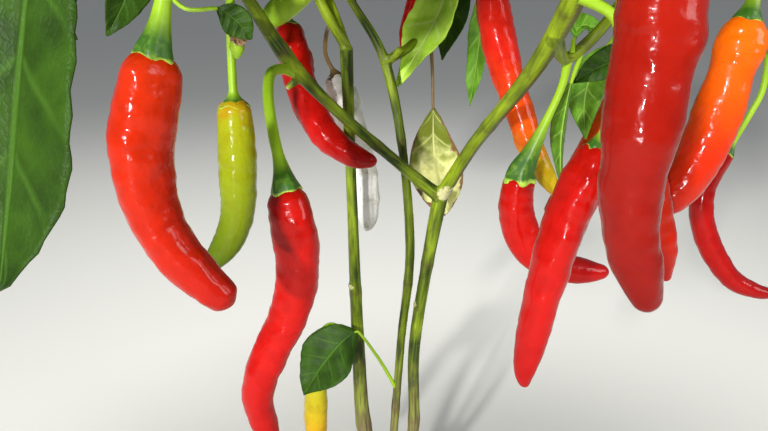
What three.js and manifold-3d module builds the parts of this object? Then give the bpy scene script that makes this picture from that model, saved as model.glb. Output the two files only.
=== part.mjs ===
// Chilli pepper plant, rooted in the ground: a short trunk that parts into three stems, the boughs
// they fork into, the peppers that hang from them and a crown of leafy masses.
// Millimetres, +Z up, the side that faces the viewer towards -Y, the ground at z = 0.

import * as THREE from 'three';
import { mergeVertices } from 'three/addons/utils/BufferGeometryUtils.js';
import Module from 'manifold-3d';

const wasm = await Module();
wasm.setup();

// Driving dimensions of the whole plant
const PLANT_HEIGHT = 640;
const CROWN_RADIUS = 240;
const CROWN_WAIST = 425; // height at which the crown is widest
const CROWN_HEM = 290; // lowest height of the crown's own leaves
const OPEN_VIEW = 345; // leaves in front of the stems stay above this height
const OPEN_VIEW_BACK = 60; // as far back as the open view reaches
const GAP = 0.3; // between solids that touch on the real plant

// Trunk: a flat cut at the ground, three root lobes, a slight lean to the right
const TRUNK_HEIGHT = 48;
const TRUNK_LEAN = 2;
const TRUNK_RADIUS = 8.6;
const FLARE_RADIUS = 14.5;
const FLARE_HEIGHT = 10; // over which the flare falls to about a third
const FLARE_LOBES = 3;
const FLARE_LOBE_DEPTH = 0.14; // a lobe's share of the radius
const FLARE_TURN = 0.6;

// Crown: a ring of low masses, a ring of high ones and one on top
const LOW_RING = { radius: 148, height: 396, first: -116, count: 7 };
const HIGH_RING = { radius: 88, height: 498, first: -90, count: 5 };
const TOP_HEIGHT = 578;

// Twigs and leaves of a mass
const ROOT_LENGTH = 26;
const TWIG_LENGTH = 42;
const TWIG_RADIUS = 1.9;
const TWIG_LEVELS = 3; // forkings after the first twig
const LENGTH_RATIO = 0.86; // of each twig to the one that bears it
const RADIUS_RATIO = 0.8;
const FORK_ANGLE = 26; // degrees that each arm of a fork turns away
const FORK_SPREAD = 12;
const FORK_TWIST = 75; // degrees from the plane of one fork to that of the next
const FORK_TWIST_SPREAD = 30;
const LIFT = 0.1; // how strongly each twig turns up
const INWARD_PULLS = [0, 0.7, 1.6]; // tries at a twig's direction
const LEAF_NODES = [0.5, 1]; // places of the leaves along a twig
const LEAF_TURNS = [0, 120, 240]; // tries at a leaf's side of its twig, in degrees
const NODE_TURN = 140; // degrees round the twig from one leaf to the next
const LEAF_LEAN = 0.6; // how far a leaf follows the direction of its twig
const LEAF_DROOP = [0.25, 0.75]; // from the stiffest leaf to the limpest
const LEAF_SIZES = [0.75, 1.15];
const LEAF_LENGTH = 82;
const LEAF_WIDTH = 38;
const LEAF_THICKNESS = 2.2;
const LEAF_WAIST = 0.42; // place of the greatest width along a leaf
const LEAF_ROOM = 0.36; // share of its width that a leaf keeps clear on either side
const LEAF_SINK = 3; // how far a leaf's root lies inside its twig
const LEAF_SPACING = 15.6; // least distance between the midribs of two leaves of a mass
const FRUIT_CHANCE = 0.17;
const FRUIT_LENGTH = 74;
const FRUIT_RADIUS = 6.6;
const FRUIT_SIZES = [0.65, 1.15];
const FRUIT_GIRTHS = [0.85, 1];
const STALK_LENGTH = 30;
const STALK_RADIUS = 1.7;
const STALK_SHOULDER = 0.4; // shares of its length that a small stalk reaches out and down
const STALK_REACH = 0.55;
const STALK_DROP = 0.7;
const CLEARANCE = 1.2; // kept between a mass and everything that isn't part of it

const UP = new THREE.Vector3(0, 0, 1);
const SMALL_STEP = 1e-6;
const COLOURS = {
  wood: 0x6f7d38,
  green: 0x53832f,
  leaf: 0x4f8f2c,
  red: 0xd3201a,
  orange: 0xe2571c,
  olive: 0x9ba432,
  pale: 0xd9d8cf,
};

function at(x, y, z) {
  return new THREE.Vector3(x, y, z);
}

function radians(degrees) {
  return THREE.MathUtils.degToRad(degrees);
}

// Geometry to solid and back

function toSolid(geometry) {
  const bare = new THREE.BufferGeometry();
  bare.setAttribute('position', geometry.getAttribute('position'));
  bare.setIndex(geometry.getIndex());
  const merged = mergeVertices(bare, 1e-4);
  const vertProperties = new Float32Array(merged.getAttribute('position').array);
  const triVerts = new Uint32Array(merged.getIndex().array.length);
  const index = merged.getIndex().array;
  let used = 0;
  for (let corner = 0; corner < index.length; corner += 3) {
    const [a, b, c] = [index[corner], index[corner + 1], index[corner + 2]];
    if (a !== b && b !== c && c !== a) {
      triVerts.set([a, b, c], used);
      used += 3;
    }
  }
  const mesh = new wasm.Mesh({ numProp: 3, vertProperties, triVerts: triVerts.slice(0, used) });
  return new wasm.Manifold(mesh);
}

function join(solids) {
  return solids.reduce((whole, solid) => whole.add(solid));
}

// The largest closed body of a solid: a scrap that a cut left and a sealed hollow both go.
function mainBody(solid) {
  const bodies = solid.decompose();
  return bodies.reduce((best, body) => (body.volume() > best.volume() ? body : best));
}

// Whether each edge still has one face on either side once corners closer than a rounding step
// count as one.
const ROUNDING = 1e-4;

function staysClosed(mesh) {
  const names = [];
  for (let i = 0; i < mesh.vertProperties.length; i += 3) {
    const corner = [...mesh.vertProperties.slice(i, i + 3)];
    names.push(corner.map((value) => Math.round(value / ROUNDING)).join());
  }
  const edges = new Map();
  for (let i = 0; i < mesh.triVerts.length; i += 3) {
    const face = [0, 1, 2].map((corner) => names[mesh.triVerts[i + corner]]);
    if (new Set(face).size === 3) {
      face.forEach((corner, k) => {
        const edge = `${corner} ${face[(k + 1) % 3]}`;
        edges.set(edge, (edges.get(edge) ?? 0) + 1);
      });
    }
  }
  return [...edges].every(([edge, faces]) => {
    const [from, to] = edge.split(' ');
    return faces === 1 && edges.get(`${to} ${from}`) === 1;
  });
}

// The main body of a solid, with the fine slivers that cuts and joins leave smoothed away as far
// as it stays closed.
const FINE_SLIVERS = [0.1, 0.05, 0.02];
const SLIVERS = [0.3, 0.25, 0.2, 0.15, ...FINE_SLIVERS];

function tidied(solid, slivers) {
  for (const sliver of slivers) {
    const mesh = mainBody(solid.asOriginal().simplify(sliver)).getMesh();
    if (staysClosed(mesh)) {
      return mesh;
    }
  }
  return mainBody(solid).getMesh();
}

const plant = new THREE.Group();

function addPart(name, solid, colour, roughness, slivers = FINE_SLIVERS) {
  const mesh = tidied(solid, slivers);
  const geometry = new THREE.BufferGeometry();
  geometry.setAttribute('position', new THREE.BufferAttribute(mesh.vertProperties, 3));
  geometry.setIndex(new THREE.BufferAttribute(mesh.triVerts, 1));
  geometry.computeVertexNormals();
  const material = new THREE.MeshStandardMaterial({ color: colour, roughness, metalness: 0 });
  const part = new THREE.Mesh(geometry, material);
  part.name = name;
  plant.add(part);
}

// Bends a cylinder or ball that stands round the Y axis along a curve. Each ring keeps its angle
// round the curve, and radiusAt(t, angle) gives its radius at t = 0 (start) to 1 (end).
const FRAME_STEPS = 60;

function bendAlong(geometry, curve, radiusAt) {
  geometry.computeBoundingBox();
  const { min, max } = geometry.boundingBox;
  const frames = curve.computeFrenetFrames(FRAME_STEPS, false);
  const position = geometry.getAttribute('position');
  const corner = new THREE.Vector3();
  for (let i = 0; i < position.count; i += 1) {
    corner.fromBufferAttribute(position, i);
    const t = (corner.y - min.y) / (max.y - min.y);
    const step = Math.round(t * FRAME_STEPS);
    const reach = Math.hypot(corner.x, corner.z);
    const point = curve.getPointAt(t);
    if (reach > SMALL_STEP) {
      const angle = Math.atan2(corner.z, corner.x);
      const radius = radiusAt(t, angle);
      point.addScaledVector(frames.normals[step], Math.cos(angle) * radius);
      point.addScaledVector(frames.binormals[step], Math.sin(angle) * radius);
    }
    position.setXYZ(i, point.x, point.y, point.z);
  }
  return facingOut(geometry);
}

// Turns the faces round where the bend has left them facing in.
function facingOut(geometry) {
  const position = geometry.getAttribute('position');
  const index = geometry.getIndex().array;
  const [a, b, c] = [new THREE.Vector3(), new THREE.Vector3(), new THREE.Vector3()];
  let volume = 0;
  for (let i = 0; i < index.length; i += 3) {
    a.fromBufferAttribute(position, index[i]);
    b.fromBufferAttribute(position, index[i + 1]);
    c.fromBufferAttribute(position, index[i + 2]);
    volume += a.dot(b.cross(c));
  }
  if (volume < 0) {
    for (let i = 0; i < index.length; i += 3) {
      [index[i], index[i + 1]] = [index[i + 1], index[i]];
    }
  }
  return geometry;
}

function smoothLine(points) {
  return new THREE.CatmullRomCurve3(points, false, 'centripetal');
}

// The same line with both ends a gap further out.
function longer(line) {
  const points = line.points.map((point) => point.clone());
  points[0].addScaledVector(line.getTangentAt(0), -GAP);
  points[points.length - 1].addScaledVector(line.getTangentAt(1), GAP);
  return smoothLine(points);
}

// Value at t between evenly spaced values
function between(values, t) {
  const place = Math.min(Math.max(t, 0), 1) * (values.length - 1);
  const first = Math.min(Math.floor(place), values.length - 2);
  return THREE.MathUtils.lerp(values[first], values[first + 1], place - first);
}

// Everything that a mass has to keep clear of, as short rods with a radius
const rods = [];

function keepClearOf(curve, radiusAt, steps) {
  for (let i = 0; i < steps; i += 1) {
    const [t0, t1] = [i / steps, (i + 1) / steps];
    const radius = Math.max(radiusAt(t0), radiusAt(t1));
    rods.push({ start: curve.getPointAt(t0), end: curve.getPointAt(t1), radius });
  }
}

// Trunk: a tube that starts below the ground and is cut off level with it
const BURIED = 4;
const STEM_ROOT = TRUNK_HEIGHT - 3; // height at which the stems start, inside the trunk
const TRUNK_SIDES = 12;
const TRUNK_RINGS = 7;

function trunkRadius(height, angle) {
  const flare = Math.exp(-Math.max(height, 0) / FLARE_HEIGHT);
  const lobes = 1 + FLARE_LOBE_DEPTH * flare * Math.cos(FLARE_LOBES * angle + FLARE_TURN);
  return (TRUNK_RADIUS + (FLARE_RADIUS - TRUNK_RADIUS) * flare) * lobes;
}

function trunkTube(swell) {
  const foot = at(0, 0, -BURIED);
  const middle = at(TRUNK_LEAN * 0.3, 0, TRUNK_HEIGHT / 2);
  const top = at(TRUNK_LEAN, 0, TRUNK_HEIGHT + swell);
  const tube = new THREE.CylinderGeometry(1, 1, 1, TRUNK_SIDES, TRUNK_RINGS);
  const heightAt = (t) => t * (TRUNK_HEIGHT + BURIED) - BURIED;
  const radiusAt = (t, angle) => trunkRadius(heightAt(t), angle) + swell;
  const size = 4 * PLANT_HEIGHT;
  const underground = new THREE.BoxGeometry(size, size, size);
  underground.translate(0, 0, -size / 2);
  const solid = toSolid(bendAlong(tube, smoothLine([foot, middle, top]), radiusAt));
  return solid.subtract(toSolid(underground));
}

addPart('trunk', trunkTube(0), COLOURS.wood, 0.85);
const swollen = { trunk: trunkTube(GAP) };

// Limbs: each is one tapering tube, swollen at its joints, that starts inside the limb it grows
// from and is cut back to a gap from it and from the limbs beside it.
const LIMB_SIDES = 6;
const LIMB_STEP = 16; // length of a limb between two of its rings
const limbs = {};

function limbTube(line, radiusAt, segments) {
  const tube = new THREE.CylinderGeometry(1, 1, 1, LIMB_SIDES, segments);
  return toSolid(bendAlong(tube, line, radiusAt));
}

function addLimb(name, from, path, girths) {
  const line = smoothLine(path);
  const radiusAt = (t) => between(girths, t) / 2;
  const segments = Math.max(4, Math.round(line.getLength() / LIMB_STEP));
  let solid = limbTube(line, radiusAt, segments);
  for (const neighbour of from) {
    solid = solid.subtract(swollen[neighbour]);
  }
  addPart(name, solid, COLOURS.green, 0.6);
  swollen[name] = limbTube(longer(line), (t) => radiusAt(t) + GAP, segments);
  limbs[name] = line;
  keepClearOf(line, radiusAt, segments);
}

// Forks that the limbs share
const RIGHT_FORK = at(25.9, 0.4, 229);
const LEFT_FORK = at(-21, 0.9, 304);
const MIDDLE_FORK = at(-19, 14, 325);
const MIDDLE_NODE = at(-2.5, 11.9, 296);
const LEFT_TIP = at(-67, -56, 348);
const RIGHT_TIP = at(60, -114, 344);

addLimb('stem_left', ['trunk'],
  [at(-5.5, 1, STEM_ROOT), at(-14.4, 2.8, 81), at(-17.6, 1.3, 144), at(-19.5, -0.2, 228),
    LEFT_FORK],
  [10, 8.6, 7.4, 6.5, 5.7, 5.5, 6.7]);
addLimb('stem_right', ['trunk', 'stem_left'],
  [at(7, -1.5, STEM_ROOT), at(14, -3.8, 86), at(13.8, -2.3, 140), at(20.5, 0.2, 194),
    RIGHT_FORK],
  [8, 6.4, 6.3, 6.6, 6.4, 8.2]);
addLimb('stem_middle', ['trunk', 'stem_left', 'stem_right'],
  [at(1.5, 4.5, STEM_ROOT), at(2.9, 0.3, 83), at(6.6, 1.3, 144), at(10.9, 4.8, 203),
    MIDDLE_NODE, MIDDLE_FORK],
  [5.6, 4.8, 4.6, 4.9, 5.2, 4.7, 5.5, 4]);
addLimb('bough_left', ['stem_right'],
  [RIGHT_FORK, at(5, -5.6, 248), at(-39.4, -31.6, 296), LEFT_TIP],
  [7.2, 5.6, 5.3, 5.2, 6.2, 5.2, 4.4]);
addLimb('bough_right', ['stem_right', 'bough_left'],
  [RIGHT_FORK, at(38, -15.7, 258), at(54.5, -71.6, 306), RIGHT_TIP],
  [7.2, 6.4, 6.2, 6.6, 7.2, 6.3]);

// Masses: where each stands, and the root at which its bough's tip feeds it
const LOW_NAMES = ['front_left', 'front_right', 'right', 'back_right', 'back', 'back_left', 'left'];
const HIGH_NAMES = ['front', 'right', 'back_right', 'back_left', 'left'];
const ROOT_INSET = 0.66; // a root's share of its mass's distance from the middle
const ROOT_DROP = 26;
const masses = {};

function ring(prefix, names, { radius, height, first, count }) {
  names.forEach((name, k) => {
    const azimuth = radians(first + (k * 360) / count);
    const centre = at(radius * Math.cos(azimuth), radius * Math.sin(azimuth), height);
    const root = at(centre.x * ROOT_INSET, centre.y * ROOT_INSET, height - ROOT_DROP);
    masses[`${prefix}_${name}`] = { centre, root };
  });
}

ring('low', LOW_NAMES, LOW_RING);
ring('high', HIGH_NAMES, HIGH_RING);
masses.top = { centre: at(0, 0, TOP_HEIGHT), root: at(0, 0, TOP_HEIGHT - 2 * ROOT_DROP) };
masses.low_front_left.root = at(-62, -122, 374);
masses.low_front_right.root = at(55, -150, 380);

// Boughs of the crown: each rises from a fork, by way of one point, to the root of its mass
const BOUGH_GIRTHS = [5, 4.4, 4, 3.8];

function addBough(name, from, start, via, mass) {
  const tip = masses[mass].root;
  addLimb(name, from, [start, ...via, tip], BOUGH_GIRTHS);
  masses[mass].limb = name;
}

addBough('bough_left_front', ['bough_left'], LEFT_TIP, [at(-69, -84, 362)], 'low_front_left');
addBough('bough_left_side', ['bough_left', 'bough_left_front'], LEFT_TIP, [at(-82, -44, 358)],
  'low_left');
addBough('bough_left_high', ['bough_left_front'], at(-69, -84, 362), [at(-48, -82, 404)],
  'high_front');
addBough('bough_right_front', ['bough_right'], RIGHT_TIP, [at(59, -134, 358)], 'low_front_right');
addBough('bough_right_high', ['bough_right', 'bough_right_front'], RIGHT_TIP, [at(66, -96, 390)],
  'high_right');
addBough('bough_right_side', ['bough_right'], at(56.7, -83.3, 315),
  [at(67, -64, 306), at(80, -66, 320), at(96, -48, 346)], 'low_right');
addBough('bough_back_left', ['stem_left'], LEFT_FORK, [at(-30, 9, 326), at(-50, 40, 352)],
  'low_back_left');
addBough('bough_middle_left', ['stem_left', 'bough_back_left'], LEFT_FORK,
  [at(-33, -1, 326), at(-44, 10, 360), at(-52, 0, 412)], 'high_left');
addBough('bough_back', ['stem_middle'], MIDDLE_FORK, [at(-20, 54, 352)], 'low_back');
addBough('bough_top', ['stem_middle', 'bough_back'], MIDDLE_FORK, [at(-16, 14, 400), at(-4, 6, 470)],
  'top');
addBough('bough_back_right', ['stem_middle'], MIDDLE_NODE, [at(12, 24, 304), at(40, 44, 338)],
  'low_back_right');
addBough('bough_back_high', ['bough_back'], at(-22, 42, 346), [at(-30, 52, 400)], 'high_back_left');
addBough('bough_centre', ['bough_top'], at(-17.6, 14, 372), [at(16, 8, 392), at(34, 26, 430)],
  'high_back_right');
addLimb('twig_right', ['bough_right_side'],
  [at(88, -57, 334), at(124, -40, 338), at(164, -10, 322), at(184, 6, 300)], [3.6, 3.2, 2.8, 2.6]);

// Peppers: a stalk that arches down from its limb, a flaring cap and a tapering, curved body, all
// one tube whose rings lie close together at the cap and at the tip
const CAP_LENGTH = 8;
const CAP_SHARE = 0.72; // of the pod's radius
const SHOULDER_SHARE = 0.12; // of the pod's length, over which its shoulder rounds
const TIP_SHARE = 0.25;
const STALK_RINGS = [0, 0.3, 0.6, 0.85];
const BODY_RINGS = [0.03, 0.12, 0.3, 0.5, 0.7, 0.86, 0.96, 1];
const SMALL_STALK_RINGS = [0, 0.5];
const SMALL_BODY_RINGS = [0.1, 0.5, 0.86, 1];
const SMALL_SHARE = 0.7; // of a full stalk's radius
const SMALL_TAPER = 0.3;
const TIP_RADIUS = 0.7;
const PEPPER_SIDES = 6;

function ringedTube(places, sides) {
  const tube = new THREE.CylinderGeometry(1, 1, 1, sides, places.length - 1);
  const position = tube.getAttribute('position');
  for (let i = 0; i < position.count; i += 1) {
    const ring = Math.round((position.getY(i) + 0.5) * (places.length - 1));
    position.setY(i, places[ring]);
  }
  return tube;
}

function pepperRadius(t, radius, taper) {
  const shoulder = Math.min(t / SHOULDER_SHARE, 1);
  const tip = Math.min((1 - t) / TIP_SHARE, 1);
  const ends = Math.sqrt(1 - (1 - shoulder) ** 2) * Math.sqrt(1 - (1 - tip) ** 2);
  return Math.max(radius * (1 - taper * t) * ends, TIP_RADIUS);
}

function pepperTube(stalk, body, stalkRadius, radius, taper, stalkRings, bodyRings, sides) {
  const line = smoothLine([...stalk, ...body]);
  const neck = smoothLine([...stalk, body[0]]).getLength() / line.getLength();
  const cap = neck - CAP_LENGTH / line.getLength();
  const places = [...stalkRings.map((t) => t * cap), cap, neck,
    ...bodyRings.map((t) => neck + t * (1 - neck))];
  const radiusAt = (t) => {
    if (t < cap + SMALL_STEP) {
      return stalkRadius;
    }
    if (t < neck + SMALL_STEP) {
      return radius * CAP_SHARE;
    }
    return pepperRadius((t - neck) / (1 - neck), radius, taper);
  };
  return toSolid(bendAlong(ringedTube(places, sides), line, radiusAt));
}

function addPepper(name, from, stalk, body, radius, taper, colour) {
  let solid = pepperTube(stalk, body, STALK_RADIUS, radius, taper, STALK_RINGS, BODY_RINGS,
    PEPPER_SIDES);
  for (const neighbour of from) {
    solid = solid.subtract(swollen[neighbour]);
  }
  addPart(name, solid, colour, 0.25);
  keepClearOf(smoothLine([...stalk, body[0]]), () => STALK_RADIUS + 0.5, 4);
  keepClearOf(smoothLine(body), (t) => pepperRadius(t, radius, taper), 5);
}

addPepper('pepper_front_left', ['bough_left_front'],
  [at(-63, -118, 373), at(-57, -130, 360), at(-60.5, -138, 329)],
  [at(-63.8, -141, 313), at(-69, -143, 290), at(-64.2, -145, 264), at(-46.6, -147, 245)],
  8.8, 0.36, COLOURS.orange);
addPepper('pepper_olive', ['bough_left'],
  [at(-65.5, -54.5, 344), at(-64, -46, 336), at(-65.3, -45, 307)],
  [at(-65.4, -47, 285), at(-65.8, -49, 253), at(-71, -51, 227), at(-84.7, -53, 211.5)],
  8.2, 0.3, COLOURS.olive);
addPepper('pepper_left_long', ['bough_left'],
  [at(-39, -32, 296), at(-47, -60, 299), at(-44, -80, 282)],
  [at(-38.2, -94, 263), at(-34.9, -95, 237), at(-46.4, -98, 199), at(-52.9, -99, 175),
    at(-47.4, -99, 151.6)],
  8.5, 0.35, COLOURS.red);
addPepper('pepper_behind_left', ['bough_middle_left'],
  [at(-42.5, 9, 356), at(-50, 19, 350), at(-53, 22, 332)],
  [at(-50.7, 18, 312), at(-43.7, 6, 285), at(-29, -9, 261), at(-6.4, -17, 252)],
  8.3, 0.25, COLOURS.red);
addPepper('pepper_young', ['bough_middle_left'],
  [at(-35, 1, 333), at(-27, -2, 346), at(-28, 0, 352)],
  [at(-33, 1, 339), at(-45, -5, 325.5), at(-59.9, -12, 315)],
  6.2, 0.15, COLOURS.olive);
addPepper('pepper_bleached', ['bough_middle_left', 'bough_back_left', 'stem_left'],
  [at(-27, 3, 315), at(-31, 16, 311), at(-33, 25, 298)],
  [at(-28.1, 26, 286), at(-20.2, 25, 259), at(-12.4, 23, 226), at(-12.5, 21, 202)],
  9.4, 0.45, COLOURS.pale);
addPepper('pepper_right_long', ['bough_centre'],
  [at(20, 10, 397), at(40, -1, 392), at(45, -2, 365)],
  [at(46, -3, 336), at(49, -11, 310), at(58.8, -21, 278), at(79, -30, 238)],
  8, 0.4, COLOURS.red);
addPepper('pepper_hooked', ['bough_right_side'],
  [at(68, -67, 309.4), at(66, -63, 296), at(58, -61.5, 270)],
  [at(51.9, -62, 256), at(53, -62, 238), at(64, -62, 222.5), at(94, -62, 215.7)],
  7.6, 0.4, COLOURS.red);
addPepper('pepper_right_front', ['bough_right'],
  [at(58, -104, 329), at(69, -106, 322), at(70, -109, 298)],
  [at(66.4, -110, 281), at(60.6, -110, 264), at(52, -112, 228), at(48.7, -113, 194)],
  8.1, 0.4, COLOURS.red);
addPepper('pepper_near', ['bough_right_front'],
  [at(58, -139, 363.5), at(53, -166, 377), at(49, -182, 362)],
  [at(49, -183, 341), at(48.5, -186, 312), at(48, -188, 288), at(55.5, -188, 265)],
  8.6, 0.48, COLOURS.red);
addPepper('pepper_orange', ['bough_right_side'],
  [at(96, -48, 346), at(111, -72, 354), at(117, -94, 342)],
  [at(111.3, -100, 320), at(108, -102, 295), at(100.8, -104, 272), at(88.4, -106, 258.6)],
  7.7, 0.2, COLOURS.orange);
addPepper('pepper_far_right', ['twig_right'],
  [at(184, 6, 301), at(179, 6, 268)],
  [at(171.5, 4, 252), at(163, 4, 222), at(178, 1, 188), at(214.7, -2, 174)],
  6.2, 0.25, COLOURS.red);
addPepper('pepper_turning', ['bough_right_side'],
  [at(98, -40, 354), at(114, -6, 344), at(119, 10, 312)],
  [at(117, 14, 282), at(103, 12, 249), at(83, 8, 218)],
  5.9, 0.2, COLOURS.orange);
addPepper('pepper_behind_near', ['bough_right', 'bough_right_front'],
  [at(60, -117, 346), at(73, -124, 340), at(75, -127, 312)],
  [at(74.5, -128, 293), at(77, -129, 270), at(86.4, -130, 244)],
  6.2, 0.15, COLOURS.red);
addPepper('pepper_back', ['bough_back'],
  [at(-17, 70, 359), at(14, 96, 372), at(22, 132, 362)],
  [at(18.2, 138, 331), at(14.4, 135, 312), at(9.2, 134, 290)],
  5, 0.3, COLOURS.red);
addPepper('pepper_bud', ['bough_left'],
  [at(-57.8, -48, 331), at(-63, -52, 325), at(-61.5, -52.5, 318)],
  [at(-61, -53, 313), at(-61, -53, 309), at(-61.2, -53, 304.5)],
  3, 0.1, COLOURS.olive);
addPepper('pepper_low', ['stem_left'],
  [at(-17.6, 1.3, 143), at(-33, 4, 152), at(-42, 5, 140)],
  [at(-42.5, 5, 121), at(-43.6, 4, 92), at(-42.7, 4, 60)],
  6.8, 0.25, COLOURS.olive);

// Leaves: flat eight-sided blades whose root is sunk in the twig that bears them. The upper side
// looks as nearly as it can in the direction of face.

function leafSolid(root, direction, length, width, face = UP) {
  const side = direction.clone().cross(face).normalize();
  const top = side.clone().cross(direction).normalize();
  const blade = new THREE.OctahedronGeometry(1);
  blade.setIndex([...Array(blade.getAttribute('position').count).keys()]);
  const position = blade.getAttribute('position');
  for (let i = 0; i < position.count; i += 1) {
    const along = position.getY(i) === 0 ? LEAF_WAIST : (position.getY(i) + 1) / 2;
    const corner = root.clone().addScaledVector(direction, along * length);
    corner.addScaledVector(side, (position.getX(i) * width) / 2);
    corner.addScaledVector(top, (position.getZ(i) * LEAF_THICKNESS) / 2);
    position.setXYZ(i, corner.x, corner.y, corner.z);
  }
  return toSolid(facingOut(blade));
}

// A leaf of the open middle: a thin leafstalk from its limb and a blade that hangs from its end
const LEAFSTALK_RADIUS = 1.1;
const LEAFSTALK_SIDES = 4;

function addLeaf(name, from, stalk, tip, width, face, colour = COLOURS.leaf) {
  const stick = new THREE.CylinderGeometry(1, 1, 1, LEAFSTALK_SIDES, stalk.length);
  const root = stalk[stalk.length - 1];
  const before = stalk[stalk.length - 2];
  const sink = root.clone().lerp(before, LEAF_SINK / root.distanceTo(before));
  const blade = tip.clone().sub(sink);
  const length = blade.length();
  let solid = join([
    toSolid(bendAlong(stick, smoothLine(stalk), () => LEAFSTALK_RADIUS)),
    leafSolid(sink, blade.normalize(), length, width, face),
  ]);
  for (const neighbour of from) {
    solid = solid.subtract(swollen[neighbour]);
  }
  addPart(name, solid, colour, 0.5);
  keepClearOf(smoothLine([root, tip]), () => width / 3, 2);
}

addLeaf('leaf_low', ['stem_middle'], [at(4, 0, 113), at(-6, -5, 136), at(-18, -9, 156)],
  at(-47, -13, 118), 30, at(-0.25, -0.9, 0.5));
addLeaf('leaf_centre', ['bough_back_right'], [at(40, 44, 338), at(37, 36, 350), at(30, 27, 346)],
  at(3.6, 19, 282), 30, at(-0.35, -0.95, 0.35));
addLeaf('leaf_withered', ['bough_back_right'], [at(20, 29, 313), at(22.5, 33, 292), at(23.5, 31, 271)],
  at(30.5, 27, 208), 25, at(-0.15, -1, 0.15), COLOURS.olive);
addLeaf('leaf_folded', ['bough_right_side'], [at(72, -65.6, 311), at(71.5, -62, 304), at(70.5, -60, 297)],
  at(71, -57, 253), 9, at(-0.1, -1, 0.1));
addLeaf('leaf_near', ['bough_left_front'], [at(-68, -104, 367), at(-76, -150, 374), at(-50, -208, 352)],
  at(-64, -221.5, 286), 24, at(-0.3, -0.95, 0.2));
addLeaf('leaf_left', ['bough_left_front'], [at(-68.7, -90, 364), at(-86, -104, 372), at(-97, -117, 360)],
  at(-92, -122, 317), 16, at(1, 0.1, 0.2));
addLeaf('leaf_centre_back', ['bough_back_right'], [at(48, 48, 346), at(54, 42, 352), at(50.2, 40, 341)],
  at(44.5, 40, 269), 12, at(-0.6, -0.8, 0.1));
addLeaf('leaf_right', ['twig_right'], [at(107, -47.5, 338), at(111, -46, 326), at(103, -42, 308)],
  at(77, -40, 293), 14, at(-0.1, -0.9, 0.4));
addLeaf('leaf_small', ['bough_left_side'],
  [at(-80, -46, 357.5), at(-88, -54, 338), at(-78, -61, 324), at(-66, -60, 324)],
  at(-55, -58, 306), 12, at(-0.1, -1, 0.2));

// Growth of a mass. Each twig has a seed of its own, so a twig that is left out changes no other.
const SEED_RANGE = 2 ** 32;
const SEED_FACTOR = 1664525;
const SEED_SHIFT = 1013904223;
const ARM_FACTOR = 374761393;
const FIRST_SEED = 9001;
const SEED_STEP = 7919;

function nextSeed(seed) {
  return (Math.imul(seed, SEED_FACTOR) + SEED_SHIFT) >>> 0;
}

function drawsOf(seed, count) {
  const draws = [];
  let state = seed;
  for (let i = 0; i < count; i += 1) {
    state = nextSeed(state);
    draws.push(state / SEED_RANGE);
  }
  return draws;
}

function childSeed(seed, arm) {
  return nextSeed((seed ^ Math.imul(arm + 1, ARM_FACTOR)) >>> 0);
}

// A point lies in a mass's space where it is inside the crown's outline, nearer to this mass's
// centre than to any other, and not in the open view in front of the stems.
function inSpace(point, mass) {
  const width = Math.hypot(point.x, point.y) / CROWN_RADIUS;
  const half = point.z > CROWN_WAIST ? PLANT_HEIGHT - CROWN_WAIST : CROWN_WAIST - CROWN_HEM;
  const height = (point.z - CROWN_WAIST) / half;
  if (width * width + height * height > 1) {
    return false;
  }
  if (point.z < OPEN_VIEW && point.y < OPEN_VIEW_BACK) {
    return false;
  }
  return Object.values(masses).every((other) => {
    if (other === mass) {
      return true;
    }
    const axis = other.centre.clone().sub(mass.centre);
    const middle = other.centre.clone().add(mass.centre).multiplyScalar(0.5);
    return point.clone().sub(middle).dot(axis.normalize()) < -CLEARANCE;
  });
}

function lineDistance(a, b, c, d) {
  const [u, v, w] = [b.clone().sub(a), d.clone().sub(c), a.clone().sub(c)];
  const [uu, uv, vv, uw, vw] = [u.dot(u), u.dot(v), v.dot(v), u.dot(w), v.dot(w)];
  const spread = uu * vv - uv * uv;
  let s = spread > SMALL_STEP ? THREE.MathUtils.clamp((uv * vw - vv * uw) / spread, 0, 1) : 0;
  const t = THREE.MathUtils.clamp((uv * s + vw) / vv, 0, 1);
  s = THREE.MathUtils.clamp((uv * t - uw) / uu, 0, 1);
  return a.clone().addScaledVector(u, s).distanceTo(c.clone().addScaledVector(v, t));
}

function isClear(start, end, radius) {
  return rods.every((rod) => {
    const apart = lineDistance(start, end, rod.start, rod.end);
    return apart > rod.radius + radius + CLEARANCE;
  });
}

// The way a twig takes from its start: straight on, or turned towards the middle of its mass
// where straight on would leave the mass's space or touch a limb. No way at all ends the growth.
function findWay(mass, start, direction, length, radius) {
  const inwards = mass.centre.clone().sub(start).normalize();
  for (const pull of INWARD_PULLS) {
    const heading = direction.clone().addScaledVector(inwards, pull).normalize();
    const end = start.clone().addScaledVector(heading, length);
    if (inSpace(end, mass) && isClear(start.clone().lerp(end, 0.3), end, radius)) {
      return { heading, end };
    }
  }
  return null;
}

function growMass(name, mass, seed) {
  const line = limbs[mass.limb];
  const direction = line.getTangentAt(1);
  const start = line.getPointAt(1).addScaledVector(direction, GAP);
  const across = direction.clone().cross(UP).normalize();
  const first = { start, direction, across, length: ROOT_LENGTH, radius: TWIG_RADIUS, level: 0, seed };
  const twigs = [first];
  const growth = { mass, solids: [], blades: [] };
  while (twigs.length > 0) {
    twigs.push(...growTwig(growth, twigs.shift()));
  }
  addPart(`foliage_${name}`, join(growth.solids), COLOURS.leaf, 0.55, SLIVERS);
}

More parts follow.
